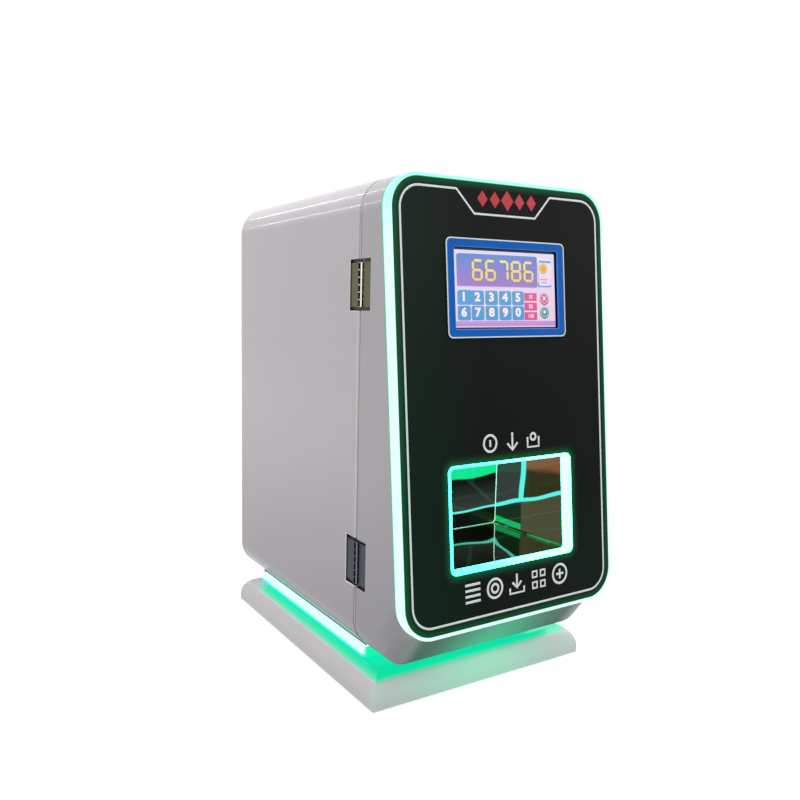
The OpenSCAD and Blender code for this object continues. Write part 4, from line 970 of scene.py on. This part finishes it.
def sideButtons():
    # shares of the picture, heights and radii in mm
    sums = {"10": 0.54, "50": 0.67, "100": 0.80}
    button = {"left": 0.675, "right": 0.805, "deep": 0.108, "tall": 4.6, "bold": 0.1}
    left, right, deep, tall, bold = button.values()
    lay("amountButtons", [patch(left, y, right, y + deep, 0, 2) for y in sums.values()], "pink")
    lay("amountFigures", [figures(text, (left + right) / 2, y + deep / 2, tall, bold, 3) for text, y in sums.items()],
        "white")
    knob = {"x": 0.885, "rose": 0.61, "teal": 0.795, "drop": 0.01, "ground": 7.4, "rim": 5.9, "face": 5.3, "dot": 2.0,
            "cross": (0.02, 0.008), "turns": (45, -45)}
    x, rose, teal, drop, ground, rim, face, dot, (dx, dy), turns = knob.values()
    lay("roundButtons", [spot(x, rose + drop, ground, 2)], "rose")
    lay("roundButtonsLow", [spot(x, teal + drop, ground, 2)], "teal")
    lay("buttonRims", [spot(x, y, rim, 3) for y in (rose, teal)], "white")
    lay("roseFace", [spot(x, rose, face, 4)], "rose")
    lay("tealFace", [spot(x, teal, face, 4)], "teal")
    cross = [patch(x - dx, rose - dy, x + dx, rose + dy, 0, 5) for _ in turns]
    for bar, turn in zip(cross, turns):
        bar.rotation_euler[2] = math.radians(turn)
    lay("buttonSigns", cross + [spot(x, teal, dot, 5)], "white")


def screenPicture():
    lay("screenGround", [patch(0, 0, 1, 1, 0, 1)], "lavender")
    lay("screenReadout", [patch(0.02, 0.05, 0.80, 0.47, 2.5, 2)], "readout")
    readout()
    lay("coinCardEdge", [patch(0.82, 0.10, 0.95, 0.46, 2.5, 2)], "keyBlue")
    lay("coinCard", [patch(0.82, 0.07, 0.95, 0.435, 2.5, 3)], "card")
    lay("coinOnCard", [spot(0.882, 0.20, 6.5, 4)], "amber")
    lay("coinRim", [spot(0.882, 0.195, 5.4, 5)], "gold")
    lay("coinFace", [spot(0.882, 0.195, 4.6, 6)], "amber")
    lay("cardLines", [patch(0.845, 0.345, 0.925, 0.36, 0, 4), patch(0.855, 0.385, 0.915, 0.4, 0, 4)],
        "purple")
    numberKeys()
    sideButtons()
    lay("screenFoot", [patch(0.0, 0.918, 1.0, 0.985, 0, 2)], "purple")


screenPicture()
print("screen picture made")


# stage, light and camera

def seenDirectly(tree):
    path = addNode(tree, "LightPath").outputs
    seen = calc("MAXIMUM", path["Is Camera Ray"], path["Is Glossy Ray"])
    return calc("MAXIMUM", seen, path["Is Transmission Ray"])


def stageAndLight():
    stageLook = {"floor": "#9c9c9c", "size": 12.0, "ambient": 0.62, "whiten": 0.86}
    floor = addShape(bpy.ops.mesh.primitive_plane_add, (0, 0, 0), size=stageLook["size"])
    floor.name = "studioFloor"
    paper = bpy.data.materials.new("studioPaper")
    paper.use_nodes = True
    tree = paper.node_tree
    tree.nodes.clear()
    whiten = calc("MULTIPLY", seenDirectly(tree), stageLook["whiten"])
    matt = addNode(tree, "BsdfDiffuse", {"Color": linear(stageLook["floor"])})
    lift = addNode(tree, "Emission", {"Strength": whiten})
    both = addNode(tree, "AddShader", {0: matt.outputs[0], 1: lift.outputs[0]})
    addNode(tree, "OutputMaterial", {"Surface": both.outputs[0]})
    floor.data.materials.append(paper)
    world = bpy.data.worlds.new("studioWorld")
    bpy.context.scene.world = world
    world.use_nodes = True
    tree = world.node_tree
    tree.nodes.clear()
    white = addNode(tree, "Background", {"Color": (1, 1, 1, 1), "Strength": 1.0})
    soft = addNode(tree, "Background", {"Color": (1, 1, 1, 1), "Strength": stageLook["ambient"]})
    mixed = addNode(tree, "MixShader", {0: seenDirectly(tree), 1: soft.outputs[0], 2: white.outputs[0]})
    addNode(tree, "OutputWorld", {"Surface": mixed.outputs[0]})
    # name, place in m, turn in degrees, size in m, power in W
    lamps = [
        ("topSoftbox", (0.3, -0.5, 2.2), (12, 8), (1.8, 1.8), 17),
        ("rightSoftbox", (2.1, -0.6, 1.3), (14, 64), (1.4, 1.4), 12),
        ("frontSoftbox", (-0.7, -2.5, 0.9), (75, 0), (1.6, 1.2), 7),
        ("leftSoftbox", (-2.3, -0.2, 1.7), (0, -58), (1.2, 1.6), 6),
        ("highStrip", (-0.42, 2.0, 1.8), (0, -12), (0.04, 1.7), 2.4),
        ("lowStrip", (-1.38, 2.4, 1.47), (0, -54), (0.04, 2.0), 3.0),
    ]
    for name, place, turn, size, power in lamps:
        light = bpy.data.lights.new(name, "AREA")
        light.shape = "RECTANGLE"
        light.size, light.size_y = size
        light.energy = power
        holder = addObject(name, light)
        holder.location = place
        holder.rotation_euler = [math.radians(a) for a in (*turn, 0)]
        holder.visible_camera = False


def camera():
    shot = {
        "place": (-618.98, -826.73, 466.47),  # mm
        "yaw": 0.49508, "pitch": 0.11264, "roll": 0.00808,  # radians: right of +Y, down, anticlockwise
        "focal": 739.06, "centre": (302.51, 388.44), "frame": 800, "sensor": 36,  # pixels, pixels, pixels, mm
    }
    place, yaw, pitch, roll, focal, centre, size, sensor = shot.values()
    forward = Vector((math.sin(yaw) * math.cos(pitch), math.cos(yaw) * math.cos(pitch), -math.sin(pitch)))
    right = Vector((math.cos(yaw), -math.sin(yaw), 0))
    up = right.cross(forward)
    turn = Matrix((right, up, -forward)).transposed() @ Matrix.Rotation(roll, 3, "Z")
    lens = bpy.data.cameras.new("photoCamera")
    lens.sensor_width = sensor
    lens.lens = focal * sensor / size
    lens.shift_x = (size / 2 - centre[0]) / size
    lens.shift_y = (centre[1] - size / 2) / size
    holder = addObject("photoCamera", lens)
    holder.matrix_world = Matrix.Translation(Vector(place) * mm) @ turn.to_4x4()
    bpy.context.scene.camera = holder


stageAndLight()
camera()
bpy.context.scene.view_settings.view_transform = "Standard"
print("stage, lamps and camera set")
